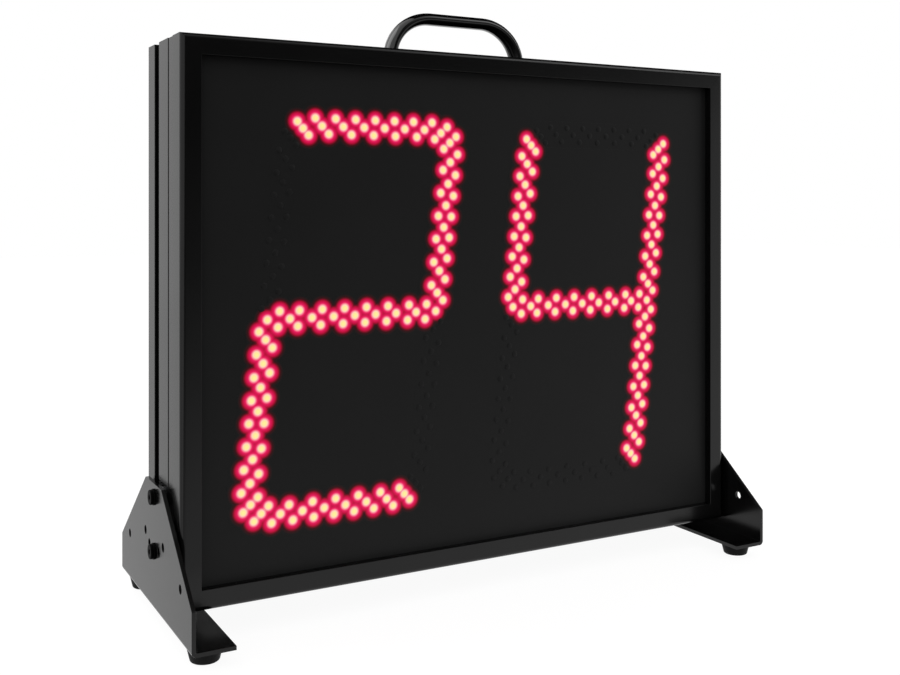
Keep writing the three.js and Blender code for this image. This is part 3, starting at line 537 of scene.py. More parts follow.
def build_bars(kind, section):
    sides = {
        "top": (half_width, 0, (0, front_y, cabinet_high.z)),
        "bottom": (half_width, math.pi, (0, front_y, cabinet_low.z)),
        "left": (half_height, -math.pi / 2, (-half_width, front_y, cabinet_middle)),
        "right": (half_height, math.pi / 2, (half_width, front_y, cabinet_middle)),
    }
    for side, (half, turn, at) in sides.items():
        bm = mitred_bar(section, half, turn, at)
        if kind == "body_profile" and side in dict(HANDS):
            bores = bolt_bores(dict(HANDS)[side], half_width - BORE_INWARD, half_width + MM)
            bm = combined("DIFFERENCE", bm, bores)
        finished(f"{kind}_{side}_bar", bm, coat, [f"{kind}_{side}"])


build_bars("front_frame", frame_section())
build_bars("body_profile", body_section())


# Digits: segments before the slant, with the letters of a seven-segment display
SLANT = 0.115
LED_ROW_STEP = 5.85 * MM
LED_CORNER_STEP = 5 * MM
LED_CORNER_EASE = 3 * MM
END_CORNER_INSET = 12 * MM
END_ROW_INSET = 25.9 * MM
END_ROW_STEP = 6.1 * MM
SIDE_CORNER_GAP = 10.5 * MM
SIDE_ROW_GAP = 24.7 * MM
SIDE_ROW_STEP = 6.3 * MM
SIDE_MIDDLE_GAP = 8.4 * MM
SIDE_MIDDLE_STEP = 6.1 * MM
MIDDLE_ROW_INSET = 5.5 * MM
MIDDLE_TIP_INSET = 14.3 * MM
MIDDLE_SIDE_INSET = 29.8 * MM
LONG_ROW_COUNT = 9
ROWS_IN_SEGMENT = 3
SEGMENT_MARGIN = 5 * MM
PANEL_WEB = 1.6 * MM
SLOT_CLEARANCE = 0.15 * MM
SEGMENT_FILL = 0.13 * MM
LED_RADIUS = 2.5 * MM
LED_HEIGHT = 0.8 * MM
LED_SIDES = 16
LED_RINGS = 5
LED_ROOT = 0.5 * MM

SEGMENT_KINDS = {
    "a": ("end", 1, 1),
    "b": ("side", 1, 1),
    "c": ("side", 1, -1),
    "d": ("end", 1, -1),
    "e": ("side", -1, -1),
    "f": ("side", -1, 1),
    "g": ("middle", 1, 1),
}
LIT_SEGMENTS = {"left": "abdeg", "right": "bcfg"}

board_low, board_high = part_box("left_digit_board")
digit_half_height = (board_high.z - board_low.z) / 2
digit_half_width = (board_high.x - board_low.x) / 2 - SLANT * digit_half_height
digit_middle = (board_high.z + board_low.z) / 2


def spread(first, last, count):
    return [first + (last - first) * index / (count - 1) for index in range(count)]


def end_leds():
    """A top segment's LEDs: rows, and the last of each row on a diagonal at the digit's corner."""
    places = []
    for row in range(ROWS_IN_SEGMENT):
        half = digit_half_width - END_ROW_INSET - row * END_ROW_STEP
        level = digit_half_height - row * LED_ROW_STEP
        places += [(x, level) for x in spread(-half, half, LONG_ROW_COUNT - 2 - row)]
        corner = digit_half_width - END_CORNER_INSET - row * LED_CORNER_STEP
        corner_level = digit_half_height - LED_CORNER_EASE - row * LED_CORNER_STEP
        places += [(-corner, corner_level), (corner, corner_level)]
    return places


def side_leds():
    """An upper right segment's LEDs."""
    places = []
    for row in range(ROWS_IN_SEGMENT):
        x = digit_half_width - row * LED_ROW_STEP
        low = SIDE_MIDDLE_GAP + row * SIDE_MIDDLE_STEP
        high = digit_half_height - SIDE_ROW_GAP - row * SIDE_ROW_STEP
        places += [(x, z) for z in spread(low, high, LONG_ROW_COUNT - 1 - row)]
        places.append((digit_half_width - LED_CORNER_EASE - row * LED_CORNER_STEP,
                       digit_half_height - SIDE_CORNER_GAP - row * LED_CORNER_STEP))
    return places


def middle_leds():
    long_half = digit_half_width - MIDDLE_ROW_INSET
    tip = digit_half_width - MIDDLE_TIP_INSET
    short_half = digit_half_width - MIDDLE_SIDE_INSET
    places = [(x, 0) for x in spread(-long_half, long_half, LONG_ROW_COUNT)]
    for level in (-LED_ROW_STEP, LED_ROW_STEP):
        places += [(x, level) for x in spread(-short_half, short_half, LONG_ROW_COUNT - 3)]
        places += [(-tip, level), (tip, level)]
    return places


SEGMENT_LEDS = {"end": end_leds, "side": side_leds, "middle": middle_leds}


def segment_outline(form, grow):
    """A segment's outline, grown by a distance, with half the panel's web left to its neighbours."""
    away = PANEL_WEB / 2 + SLOT_CLEARANCE - grow
    slope = away * math.sqrt(2)
    margin = SEGMENT_MARGIN + grow
    corner = digit_half_height - digit_half_width
    middle = (2 * digit_half_width + SIDE_MIDDLE_GAP - MIDDLE_ROW_INSET) / 2
    chamfer = digit_half_width - LED_CORNER_EASE + digit_half_height - SIDE_CORNER_GAP
    chamfer += margin * math.sqrt(2)
    band = (ROWS_IN_SEGMENT - 1) * LED_ROW_STEP + margin
    if form == "middle":
        tip = middle - slope
        high = LED_ROW_STEP + margin
        flat = tip - high
        return [(tip, 0), (flat, high), (-flat, high), (-tip, 0), (-flat, -high), (flat, -high)]
    if form == "end":
        outer = digit_half_height + margin
        inner = digit_half_height - band
        tip = (chamfer - corner - slope) / 2
        right = [(inner - corner - slope, inner), (tip, chamfer - tip), (chamfer - outer, outer)]
        return right + [(-x, z) for x, z in reversed(right)]
    outer = digit_half_width + margin
    inner = digit_half_width - band
    tip = (chamfer - corner + slope) / 2
    return [
        (middle + slope - away, away),
        (outer, away),
        (outer, chamfer - outer),
        (tip, chamfer - tip),
        (inner, inner + corner - slope),
        (inner, middle + slope - inner),
    ]


def placed(points, mirror_x, mirror_z, digit_x):
    """Mirrors a segment's points to their place, slants them and sets them in the frame."""
    return [(digit_x + mirror_x * x + SLANT * mirror_z * z, digit_middle + mirror_z * z) for x, z in points]


def dome(x, z):
    """One LED's dome, rooted in the segment, with the distance from its axis on each point."""
    crown = [(LED_RADIUS * math.cos(a), LED_HEIGHT * math.sin(a))
             for a in (math.pi / 2 * ring / LED_RINGS for ring in range(LED_RINGS))]
    profile = [(0, -LED_ROOT), (LED_RADIUS, -LED_ROOT), *crown, (0, LED_HEIGHT)]
    bm = turned(profile, LED_SIDES)
    light = bm.verts.layers.float.new("light")
    for vert in bm.verts:
        vert[light] = math.hypot(vert.co.x, vert.co.y)
    bm.transform(Matrix.Translation((x, panel_low.y, z)) @ Matrix.Rotation(math.pi / 2, 4, "X"))
    return bm


def digit_centre(hand):
    low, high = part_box(f"{hand}_digit_board")
    return (low.x + high.x) / 2


def build_segment(hand, letter):
    form, mirror_x, mirror_z = SEGMENT_KINDS[letter]
    lit = letter in LIT_SEGMENTS[hand]
    spot = (mirror_x, mirror_z, digit_centre(hand))
    outline = placed(segment_outline(form, SEGMENT_FILL), *spot)
    plate = prism(outline, panel_low.y, panel_high.y, axis="y")
    domes = [dome(x, z) for x, z in placed(SEGMENT_LEDS[form](), *spot)]
    plate_faces = len(plate.faces)
    bm = joined(plate, *domes)
    bm.faces.ensure_lookup_table()
    for face in bm.faces[plate_faces:]:
        face.material_index = 1
    finished(f"{hand}_segment_{letter}", bm, [panel_black, led_lit if lit else led_unlit],
             [f"{hand}_digit_segment_{letter}"])


# The light that spreads in the black face round each lit LED, as a thin skin before the face
SPREAD_CELL = 1.0 * MM
SPREAD_REACH = HALO_REACH
SPREAD_HOLE = 1.6 * MM
SPREAD_FRONT = 0.07 * MM
SPREAD_BACK = 0.02 * MM
SPREAD_SMOOTH_DEGREES = 45


def lit_leds(hand):
    places = []
    for letter in LIT_SEGMENTS[hand]:
        form, mirror_x, mirror_z = SEGMENT_KINDS[letter]
        places += placed(SEGMENT_LEDS[form](), mirror_x, mirror_z, digit_centre(hand))
    return places


def nearest_led(leds, step):
    """A function that gives the distance from a point to the nearest LED, from LEDs sorted into squares."""
    squares = {}
    for x, z in leds:
        squares.setdefault((int(x // step), int(z // step)), []).append((x, z))

    def distance(x, z):
        column, row = int(x // step), int(z // step)
        near = [led for dx in (-1, 0, 1) for dz in (-1, 0, 1)
                for led in squares.get((column + dx, row + dz), [])]
        return min((math.hypot(x - u, z - w) for u, w in near), default=step)

    return distance


def build_light_spread(hand):
    leds = lit_leds(hand)
    distance = nearest_led(leds, 2 * SPREAD_REACH)
    xs, zs = [x for x, z in leds], [z for x, z in leds]
    first_x, first_z = min(xs) - SPREAD_REACH, min(zs) - SPREAD_REACH
    columns = int((max(xs) + SPREAD_REACH - first_x) / SPREAD_CELL) + 1
    rows = int((max(zs) + SPREAD_REACH - first_z) / SPREAD_CELL) + 1
    reach = [[distance(first_x + column * SPREAD_CELL, first_z + row * SPREAD_CELL)
              for row in range(rows + 1)] for column in range(columns + 1)]
    bm = bmesh.new()
    halo = bm.verts.layers.float.new("halo")
    made = {}

    def vert(column, row):
        if (column, row) not in made:
            x, z = first_x + column * SPREAD_CELL, first_z + row * SPREAD_CELL
            made[column, row] = bm.verts.new((x, panel_low.y - SPREAD_FRONT, z))
            made[column, row][halo] = reach[column][row]
        return made[column, row]

    for column in range(columns):
        for row in range(rows):
            corners = [(column, row), (column + 1, row), (column + 1, row + 1), (column, row + 1)]
            reaches = [reach[u][w] for u, w in corners]
            if min(reaches) < SPREAD_REACH and max(reaches) > SPREAD_HOLE:
                bm.faces.new([vert(u, w) for u, w in corners])
    rim = bmesh.ops.extrude_face_region(bm, geom=list(bm.faces), use_keep_orig=True)
    depth = SPREAD_FRONT - SPREAD_BACK
    back = [item for item in rim["geom"] if isinstance(item, bmesh.types.BMVert)]
    bmesh.ops.translate(bm, verts=back, vec=(0, depth, 0))
    bmesh.ops.recalc_face_normals(bm, faces=bm.faces)
    mesh = bpy.data.meshes.new(f"{hand}_digit_light")
    bm.to_mesh(mesh)
    bm.free()
    mesh.materials.append(light_spread)
    mesh.shade_smooth()
    mesh.set_sharp_from_angle(angle=math.radians(SPREAD_SMOOTH_DEGREES))
    obj = bpy.data.objects.new(f"{hand}_digit_light", mesh)
    bpy.context.scene.collection.objects.link(obj)
    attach(obj, "cabinet")


for hand, side in HANDS:
    for letter in SEGMENT_KINDS:
        build_segment(hand, letter)
    build_light_spread(hand)


# Bent-plate brackets
BRACKET_THICKNESS = 3 * MM
BRACKET_BEND = 3.5 * MM
BRACKET_INNER_BEND = 0.5 * MM
BRACKET_BEND_STEPS = 9
BRACKET_TOP_LENGTH = 46 * MM
BRACKET_END_HEIGHT = 40.7 * MM
BRACKET_EDGE = 0.35 * MM
INDEX_STEP = math.radians(20)
INDEX_EACH_WAY = 2
WALL_HOLE_SPACING = 149 * MM
WALL_HOLE_HEIGHT = 47.5 * MM
FOOT_HOLE = 5.6 * MM
FOOT_HOLE_SKIN = 0.25 * MM
PLATE_CORNER = 1.2 * MM

foot_low, foot_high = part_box("rubber_foot_front_left")
rear_foot_low, rear_foot_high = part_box("rubber_foot_rear_left")
foot_x = -(foot_low.x + foot_high.x) / 2
foot_y = (rear_foot_low.y + rear_foot_high.y) / 2


def build_bracket(hand, side):
    reach = bracket_high.x - bracket_low.x
    bottom, top = bracket_low.z, bracket_high.z
    back = bracket_high.y
    section = eased([
        (0, bottom, BRACKET_BEND),
        (reach, bottom, 0),
        (reach, bottom + BRACKET_THICKNESS, 0),
        (BRACKET_THICKNESS, bottom + BRACKET_THICKNESS, BRACKET_INNER_BEND),
        (BRACKET_THICKNESS, top, 0),
        (0, top, 0),
    ], steps=BRACKET_BEND_STEPS)
    angle = loft([[(u, y, v) for u, v in section] for y in (-back, back)])
    outline = eased([
        (-back, bottom - OVERRUN, 0),
        (back, bottom - OVERRUN, 0),
        (back, BRACKET_END_HEIGHT, PLATE_CORNER),
        (BRACKET_TOP_LENGTH / 2, top, PLATE_CORNER),
        (-BRACKET_TOP_LENGTH / 2, top, PLATE_CORNER),
        (-back, BRACKET_END_HEIGHT, PLATE_CORNER),
    ])
    bm = combined("INTERSECT", angle, prism(outline, -OVERRUN, reach + OVERRUN, axis="x"))
    lock_reach = pivot_z - lock_z
    turns = [INDEX_STEP * step for step in range(-INDEX_EACH_WAY, INDEX_EACH_WAY + 1)]
    holes = [(pivot_y, pivot_z)]
    holes += [(pivot_y + lock_reach * math.sin(t), pivot_z - lock_reach * math.cos(t)) for t in turns]
    holes += [(end * WALL_HOLE_SPACING / 2, WALL_HOLE_HEIGHT) for end in (-1, 1)]
    bores = [prism(circle(BOLT_HOLE / 2, BORE_SIDES, hole), -OVERRUN, BRACKET_THICKNESS + OVERRUN, axis="x")
             for hole in holes]
    screw_x = plate_outer - foot_x
    bores += [prism(circle(FOOT_HOLE / 2, BORE_SIDES, (screw_x, end * foot_y)), bottom - OVERRUN,
                    bottom + BRACKET_THICKNESS - FOOT_HOLE_SKIN) for end in (-1, 1)]
    bm = combined("DIFFERENCE", bm, joined(*bores))
    softened(bm, BRACKET_EDGE)
    bm.transform(Matrix.Translation((-plate_outer, 0, 0)))
    if side > 0:
        bm.transform(Matrix.Scale(-1, 4, (1, 0, 0)))
        bmesh.ops.reverse_faces(bm, faces=bm.faces)
    finished(f"{hand}_bracket_plate", bm, coat, [f"bracket_{hand}"])


for hand, side in HANDS:
    build_bracket(hand, side)


# Flanged bolts: profile points are (radius, height above the flange's underside)
BOLT_SHANK = 3 * MM
BOLT_FLANGE = 6 * MM
BOLT_FLANGE_HEIGHT = 1.2 * MM
BOLT_NECK = 4.8 * MM
BOLT_NECK_HEIGHT = 1.6 * MM
BOLT_HEAD = 5.5 * MM
BOLT_HEAD_HEIGHT = 3.5 * MM
BOLT_SOCKET = 2.3 * MM
BOLT_SOCKET_DEPTH = 1.4 * MM
BOLT_SIDES = 48


def build_bolt(node, side):
    low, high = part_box(node)
    y, z = (low.y + high.y) / 2, (low.z + high.z) / 2
    length = high.x - low.x - BOLT_HEAD_HEIGHT
    profile = turned_profile([
        (0, -length, 0),
        (BOLT_SHANK, -length, FINE_ROUND),
        (BOLT_SHANK, 0, 0),
        (BOLT_FLANGE, 0, FINE_ROUND),
        (BOLT_FLANGE, BOLT_FLANGE_HEIGHT, FINE_ROUND),
        (BOLT_NECK, BOLT_FLANGE_HEIGHT, 0),
        (BOLT_NECK, BOLT_NECK_HEIGHT, 0),
        (BOLT_HEAD, BOLT_NECK_HEIGHT, FINE_ROUND),
        (BOLT_HEAD, BOLT_HEAD_HEIGHT, EDGE_ROUND),
        (0, BOLT_HEAD_HEIGHT, 0),
    ])
    socket = prism(circle(BOLT_SOCKET, 6), BOLT_HEAD_HEIGHT - BOLT_SOCKET_DEPTH, BOLT_HEAD_HEIGHT + MM)
    bm = combined("DIFFERENCE", turned(profile, BOLT_SIDES), socket)
    outward = Matrix.Rotation(side * math.pi / 2, 4, "Y")
    bm.transform(Matrix.Translation((side * plate_outer, y, z)) @ outward)
    finished(f"{node}_turned", bm, bolt_black, [node])


for hand, side in HANDS:
    build_bolt(f"pivot_bolt_{hand}", side)
    build_bolt(f"lock_bolt_{hand}", side)


# Screws with a low domed head and a cross recess
RECESS_WIDTH = 0.9 * MM
RECESS_DEPTH = 1.1 * MM
SCREW_SIDES = 32
SCREW_TOP_SHARE = 0.6


def domed_screw(shank, head, head_height, length):
    """A screw about +Z, with the underside of its head at 0."""
    profile = turned_profile([
        (0, -length, 0),
        (shank, -length, FINE_ROUND),
        (shank, 0, 0),
        (head, 0, FINE_ROUND),
        (head, head_height / 2, EDGE_ROUND),
        (head * SCREW_TOP_SHARE, head_height, EDGE_ROUND),
        (0, head_height, 0),
    ])
    bm = turned(profile, SCREW_SIDES)
    for turn in (0, math.pi / 2):
        slot = prism(box_outline(head, RECESS_WIDTH), head_height - RECESS_DEPTH, head_height + MM)
        slot.transform(Matrix.Rotation(turn, 4, "Z"))
        bm = combined("DIFFERENCE", bm, slot)
    return bm


COVER_SCREW_HEAD_HEIGHT = 2.4 * MM
COVER_SCREW_SHANK = 2 * MM
FOOT_SCREW_HEAD_HEIGHT = 3 * MM
FOOT_SCREW_SHANK = 2.5 * MM

for level in ("bottom", "top"):
    for hand, side in HANDS:
        node = f"rear_cover_screw_{level}_{hand}"
        low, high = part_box(node)
        length = high.y - low.y - COVER_SCREW_HEAD_HEIGHT
        bm = domed_screw(COVER_SCREW_SHANK, (high.x - low.x) / 2, COVER_SCREW_HEAD_HEIGHT, length)
        at = ((low.x + high.x) / 2, high.y - COVER_SCREW_HEAD_HEIGHT, (low.z + high.z) / 2)
        bm.transform(Matrix.Translation(at) @ Matrix.Rotation(-math.pi / 2, 4, "X"))
        finished(f"{node}_turned", bm, bolt_black, [node])

# Rubber feet, with the screws in their recesses
FOOT_BORE = 2.8 * MM
FOOT_RECESS = 5.5 * MM
FOOT_RECESS_DEPTH = 5 * MM
FOOT_BOTTOM = 10 * MM
FOOT_RIM = 1.2 * MM
FOOT_ROUND = 1.6 * MM
FOOT_SIDES = 56
FOOT_MERGE = 0.001 * MM


def foot_mesh(radius, height):
    outline = eased([
        (FOOT_BORE, height, 0),
        (FOOT_BORE, FOOT_RECESS_DEPTH, 0),
        (FOOT_RECESS, FOOT_RECESS_DEPTH, 0),
        (FOOT_RECESS, 0, EDGE_ROUND),
        (FOOT_BOTTOM, 0, FOOT_ROUND),
        (radius, height - FOOT_RIM, EDGE_ROUND),
        (radius, height, FINE_ROUND),
    ])
    rings = [[(u * math.cos(a), u * math.sin(a), v) for u, v in outline]
             for a in (2 * math.pi * index / FOOT_SIDES for index in range(FOOT_SIDES))]
    return loft([*rings, rings[0]], capped=False)


for end in ("front", "rear"):
    for hand, side in HANDS:
        low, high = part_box(f"rubber_foot_{end}_{hand}")
        x, y = (low.x + high.x) / 2, (low.y + high.y) / 2
        foot = foot_mesh((high.x - low.x) / 2, high.z - low.z)
        bmesh.ops.remove_doubles(foot, verts=foot.verts, dist=FOOT_MERGE)
        bmesh.ops.recalc_face_normals(foot, faces=foot.faces)
        foot.transform(Matrix.Translation((x, y, low.z)))
        finished(f"foot_{end}_{hand}_moulded", foot, foot_rubber, [f"rubber_foot_{end}_{hand}"])
        node = f"foot_screw_{end}_{hand}"
        low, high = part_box(node)
        length = high.z - low.z - FOOT_SCREW_HEAD_HEIGHT
        screw = domed_screw(FOOT_SCREW_SHANK, (high.x - low.x) / 2, FOOT_SCREW_HEAD_HEIGHT, length)
        at = (x, y, low.z + FOOT_SCREW_HEAD_HEIGHT)
        screw.transform(Matrix.Translation(at) @ Matrix.Rotation(math.pi, 4, "X"))
        finished(f"{node}_turned", screw, bolt_black, [node])

# Bow handle: an oval section swept along two wide bends and a straight grip
HANDLE_THICKNESS = 10 * MM
HANDLE_CENTRES = 122 * MM
HANDLE_MIDDLE = -0.9 * MM
HANDLE_BEND = 36 * MM
HANDLE_SIDES = 40
HANDLE_BEND_STEPS = 20


def build_handle():
    low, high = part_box("handle")
    deep = high.y - low.y
    y = (low.y + high.y) / 2
    base = low.z
    rise = high.z - HANDLE_THICKNESS / 2 - base
    half = HANDLE_CENTRES / 2
    section = [(u * HANDLE_THICKNESS / 2, v * deep / 2) for u, v in circle(1, HANDLE_SIDES)]
    path = []
    for step in range(HANDLE_BEND_STEPS + 1):
        share = math.pi / 2 * step / HANDLE_BEND_STEPS
        lean = math.atan2(HANDLE_BEND * math.sin(share), rise * math.cos(share))
        path.append((-half + HANDLE_BEND * (1 - math.cos(share)), base + rise * math.sin(share), lean))
    path += [(-x, z, math.pi - lean) for x, z, lean in reversed(path)]
    rings = [[(HANDLE_MIDDLE + x - u * math.cos(lean), y + v, z + u * math.sin(lean))
              for u, v in section] for x, z, lean in path]
    finished("handle_bow", loft(rings), handle_coat, ["handle"])


build_handle()


# Spacers between the brackets and the cabinet
for hand, side in HANDS:
    low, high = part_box(f"pivot_spacer_{hand}")
    radius = (high.z - low.z) / 2
    ring = prism(circle(radius, BOLT_SIDES, (pivot_y, pivot_z)), low.x, high.x, axis="x")
    hole = circle(BOLT_HOLE / 2, BORE_SIDES, (pivot_y, pivot_z))
    bore = prism(hole, low.x - MM, high.x + MM, axis="x")
    bm = softened(combined("DIFFERENCE", ring, bore), FINE_ROUND)
    finished(f"pivot_spacer_{hand}_turned", bm, bare_aluminium, [f"pivot_spacer_{hand}"])

# Pieces whose CAD form is right: their edges are rounded
CAD_EDGE = 0.3 * MM
edged = [
    "rear_cover", "power_switch_rocker", "horn", "power_supply", "side_block_left", "side_block_right",
    *(f"corner_block_{level}_{hand}" for level in ("bottom", "top") for hand, side in HANDS),
    *(f"handle_screw_{hand}" for hand, side in HANDS),
    *(f"{hand}_digit_board" for hand, side in HANDS),
]
for node in edged:
    finished(f"{node}_edged", softened(cad_mesh(node), CAD_EDGE), finishes[slots[node]], [node])

# Mains inlet, with its pins in bare metal
PIN_ZONE_DEPTH = 17.5 * MM
PIN_HALF_WIDTH = 1.2 * MM
PIN_PLACES = ((-7 * MM, -1 * MM), (0, 4 * MM), (7 * MM, -1 * MM))
SOCKET_OFFSET = -11 * MM
PIN_HALF_HEIGHT = 2.2 * MM


def build_inlet():
    low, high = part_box("mains_inlet")
    x, z = (low.x + high.x) / 2 + SOCKET_OFFSET, (low.z + high.z) / 2
    bm = softened(cad_mesh("mains_inlet"), CAD_EDGE)
    for face in bm.faces:
        centre = face.calc_center_median()
        in_depth = centre.y > high.y - PIN_ZONE_DEPTH
        on_pin = any(abs(centre.x - x - u) < PIN_HALF_WIDTH and abs(centre.z - z - v) < PIN_HALF_HEIGHT
                     for u, v in PIN_PLACES)
        face.material_index = 1 if in_depth and on_pin else 0
    finished("mains_inlet_edged", bm, [plastic_black, contact_metal], ["mains_inlet"])


build_inlet()


# Controller board: green board, dark components on it
BOARD_THICKNESS = 1.7 * MM


def build_controller():
    low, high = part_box("controller_board")
    board_front = high.y - BOARD_THICKNESS
    bm = softened(cad_mesh("controller_board"), CAD_EDGE)
    for face in bm.faces:
        face.material_index = 1 if face.calc_center_median().y < board_front else 0
    finished("controller_board_edged", bm, [circuit_green, plastic_black], ["controller_board"])


build_controller()


# Camera, as solved from the photograph's straight edges; its horizon lies above the middle of the frame
FRAME_WIDTH_PX = 900
FRAME_MIDDLE_PX = 337.5
HORIZON_PX = 205.0
CAMERA_PLACE = (-0.4583, -0.8241, 0.3097)
CAMERA_YAW = math.radians(28.878)
SENSOR = 36.0
LENS = 44.26

camera_data = bpy.data.cameras.new("camera")
camera_data.sensor_width = SENSOR
camera_data.lens = LENS
camera_data.shift_y = (HORIZON_PX - FRAME_MIDDLE_PX) / FRAME_WIDTH_PX
camera = bpy.data.objects.new("camera", camera_data)
camera.location = CAMERA_PLACE
camera.rotation_euler = (math.pi / 2, 0, -CAMERA_YAW)
bpy.context.scene.collection.objects.link(camera)
bpy.context.scene.camera = camera


# World: even light on the object, and white to the camera, to gloss and through glass
WORLD_LIGHT = 0.8


def seen_share(tree):
    """1 for camera, glossy and transmission rays, and 0 for the light that falls on the object."""
    path = tree.nodes.new("ShaderNodeLightPath")
    total = path.outputs["Is Camera Ray"]
    for output in ("Is Glossy Ray", "Is Transmission Ray"):
        add = tree.nodes.new("ShaderNodeMath")
        add.operation = "MAXIMUM"
        tree.links.new(total, add.inputs[0])
        tree.links.new(path.outputs[output], add.inputs[1])
        total = add.outputs[0]
    return total


def build_world():
    world = bpy.data.worlds.new("studio")
    bpy.context.scene.world = world
    world.use_nodes = True
    tree = world.node_tree
    light = tree.nodes["Background"]
    light.inputs["Color"].default_value = (*grey(1), 1)
    light.inputs["Strength"].default_value = WORLD_LIGHT
    seen = tree.nodes.new("ShaderNodeBackground")
    seen.inputs["Color"].default_value = (*grey(1), 1)
    seen.inputs["Strength"].default_value = 1.0
    mix = tree.nodes.new("ShaderNodeMixShader")
    tree.links.new(seen_share(tree), mix.inputs["Fac"])
    tree.links.new(light.outputs["Background"], mix.inputs[1])
    tree.links.new(seen.outputs["Background"], mix.inputs[2])
    tree.links.new(mix.outputs["Shader"], tree.nodes["World Output"].inputs["Surface"])


build_world()

# Floor: pale, seen as white, with the object's soft shadow left on it
FLOOR_HALF = 6.0
FLOOR_CELLS = 4
FLOOR_COLOUR = 0.13
FLOOR_LIFT = 0.93


def build_floor():
    bm = bmesh.new()
    bmesh.ops.create_grid(bm, x_segments=FLOOR_CELLS, y_segments=FLOOR_CELLS, size=FLOOR_HALF)
    floor = loose_object("floor", bm)
    material = bpy.data.materials.new("pale floor")
    material.use_nodes = True
    tree = material.node_tree
    tree.nodes.remove(tree.nodes["Principled BSDF"])
    paper = tree.nodes.new("ShaderNodeBsdfDiffuse")
    paper.inputs["Color"].default_value = (*grey(FLOOR_COLOUR), 1)
    lift = tree.nodes.new("ShaderNodeEmission")
    lift.inputs["Color"].default_value = (*grey(1), 1)
    lift.inputs["Strength"].default_value = FLOOR_LIFT
    lifted = tree.nodes.new("ShaderNodeAddShader")
    mix = tree.nodes.new("ShaderNodeMixShader")
    tree.links.new(paper.outputs["BSDF"], lifted.inputs[0])
    tree.links.new(lift.outputs["Emission"], lifted.inputs[1])
    tree.links.new(seen_share(tree), mix.inputs["Fac"])
    tree.links.new(paper.outputs["BSDF"], mix.inputs[1])
    tree.links.new(lifted.outputs["Shader"], mix.inputs[2])
    tree.links.new(mix.outputs["Shader"], tree.nodes["Material Output"].inputs["Surface"])
    floor.data.materials.append(material)


build_floor()

# Cards that only the gloss sees: two opposite corners, a direction, and levels by distance along it
FRONT_Y = -1.0
BACK_Y = 3.0
ROOF_Z = 2.0
FRONT_LEFT = -0.45
FRONT_RIGHT = 1.8
FRONT_FOOT_Y = -0.2
FRONT_TOP = 0.9
FAR_LEFT = -4.0
FAR_RIGHT = 4.0
ROOF_FRONT_Y = -0.5
BACK_LEFT = 0.5
BACK_FOOT = 0.96
LEFT_CARD_RIGHT = 0.4
LEFT_CARD_TOP = 1.0
GROUND_SPLIT_Y = 0.4
NEAR_GROUND_Y = -0.1
NEAR_GROUND_RIGHT = -0.258
FAR_GROUND_RIGHT = -0.27
RIGHT = (1, 0, 0)
UP_AND_LEFT = (-0.4, 0, 1)
FRONT_LEVELS = [(-0.1, 1.0), (0.0, 0.82), (0.11, 0.76), (0.16, 0.60), (0.2, 0.43), (0.24, 0.32),
                (0.29, 0.20), (0.37, 0.10), (0.47, 0.06)]
UPPER_LEVELS = [(0.0, 0.10), (0.3, 0.30), (0.55, 1.0), (1.1, 3.2), (1.4, 2.0)]
DARK_LEVEL = 0.002
LEFT_LEVEL = 0.74
NEAR_GROUND_LEVEL = 0.73
FAR_GROUND_LEVEL = 0.70


def even(level):
    return [(0, level), (1, level)]


CARDS = {
    "front_card": ((FRONT_LEFT, FRONT_FOOT_Y, 0.0), (FRONT_RIGHT, FRONT_Y, FRONT_TOP), UP_AND_LEFT,
                   FRONT_LEVELS),
    "upper_card": ((FRONT_LEFT, FRONT_Y, FRONT_TOP), (FRONT_RIGHT, FRONT_Y, ROOF_Z), RIGHT, UPPER_LEVELS),
    "roof_card": ((0.0, ROOF_FRONT_Y, ROOF_Z), (FAR_RIGHT, BACK_Y, ROOF_Z), RIGHT, even(DARK_LEVEL)),
    "back_card": ((BACK_LEFT, BACK_Y, BACK_FOOT), (FAR_RIGHT, BACK_Y, ROOF_Z), RIGHT, even(DARK_LEVEL)),
    "left_card": ((FAR_LEFT, BACK_Y, 0.0), (LEFT_CARD_RIGHT, BACK_Y, LEFT_CARD_TOP), RIGHT,
                  even(LEFT_LEVEL)),
    "near_ground_card": ((FAR_LEFT, NEAR_GROUND_Y, MM), (NEAR_GROUND_RIGHT, GROUND_SPLIT_Y, MM), RIGHT,
                         even(NEAR_GROUND_LEVEL)),
    "far_ground_card": ((FAR_LEFT, GROUND_SPLIT_Y, MM), (FAR_GROUND_RIGHT, BACK_Y, MM), RIGHT,
                        even(FAR_GROUND_LEVEL)),
}


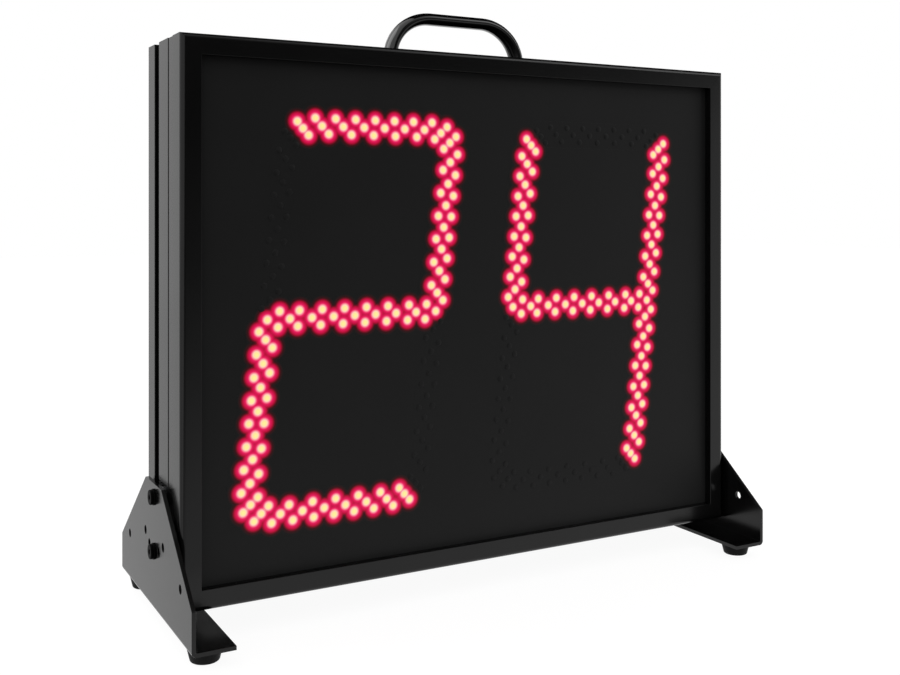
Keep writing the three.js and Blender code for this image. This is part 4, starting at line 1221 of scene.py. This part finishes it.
def build_card(name, low, high, along, levels):
    low, high = Vector(low), Vector(high)
    width = Vector((high.x - low.x, 0, 0))
    bm = bmesh.new()
    bm.faces.new([bm.verts.new(corner) for corner in (low, low + width, high, high - width)])
    card = loose_object(name, bm)
    material = bpy.data.materials.new(name)
    material.use_nodes = True
    tree = material.node_tree
    tree.nodes.remove(tree.nodes["Principled BSDF"])
    place = tree.nodes.new("ShaderNodeTexCoord")
    distance = tree.nodes.new("ShaderNodeVectorMath")
    distance.operation = "DOT_PRODUCT"
    distance.inputs[1].default_value = along
    first, last = levels[0][0], levels[-1][0]
    share = tree.nodes.new("ShaderNodeMapRange")
    share.inputs["From Min"].default_value = first
    share.inputs["From Max"].default_value = last
    ramp = ramp_node(tree, [((where - first) / (last - first), grey(level)) for where, level in levels])
    glow = tree.nodes.new("ShaderNodeEmission")
    tree.links.new(place.outputs["Object"], distance.inputs[0])
    tree.links.new(distance.outputs["Value"], share.inputs["Value"])
    tree.links.new(share.outputs["Result"], ramp.inputs["Fac"])
    tree.links.new(ramp.outputs["Color"], glow.inputs["Color"])
    tree.links.new(glow.outputs["Emission"], tree.nodes["Material Output"].inputs["Surface"])
    material.cycles.emission_sampling = "NONE"
    card.data.materials.append(material)
    card.visible_camera = False
    card.visible_diffuse = False
    card.visible_transmission = False
    card.visible_shadow = False


for name, (low, high, along, levels) in CARDS.items():
    build_card(name, low, high, along, levels)

# Key lamp: large and soft, from the left, behind and above
KEY_PLACE = Vector((-1.5, 1.2, 1.9))
KEY_SIZE = 1.6
KEY_POWER = 14.0

key_data = bpy.data.lights.new("key", "AREA")
key_data.size = KEY_SIZE
key_data.energy = KEY_POWER
key = bpy.data.objects.new("key", key_data)
key.location = KEY_PLACE
key.rotation_euler = (Vector((0, 0, cabinet_middle)) - KEY_PLACE).to_track_quat("-Z", "Y").to_euler()
bpy.context.scene.collection.objects.link(key)

bpy.context.scene.view_settings.view_transform = "Standard"

# Placements brought up to date at the end
bpy.context.view_layer.update()
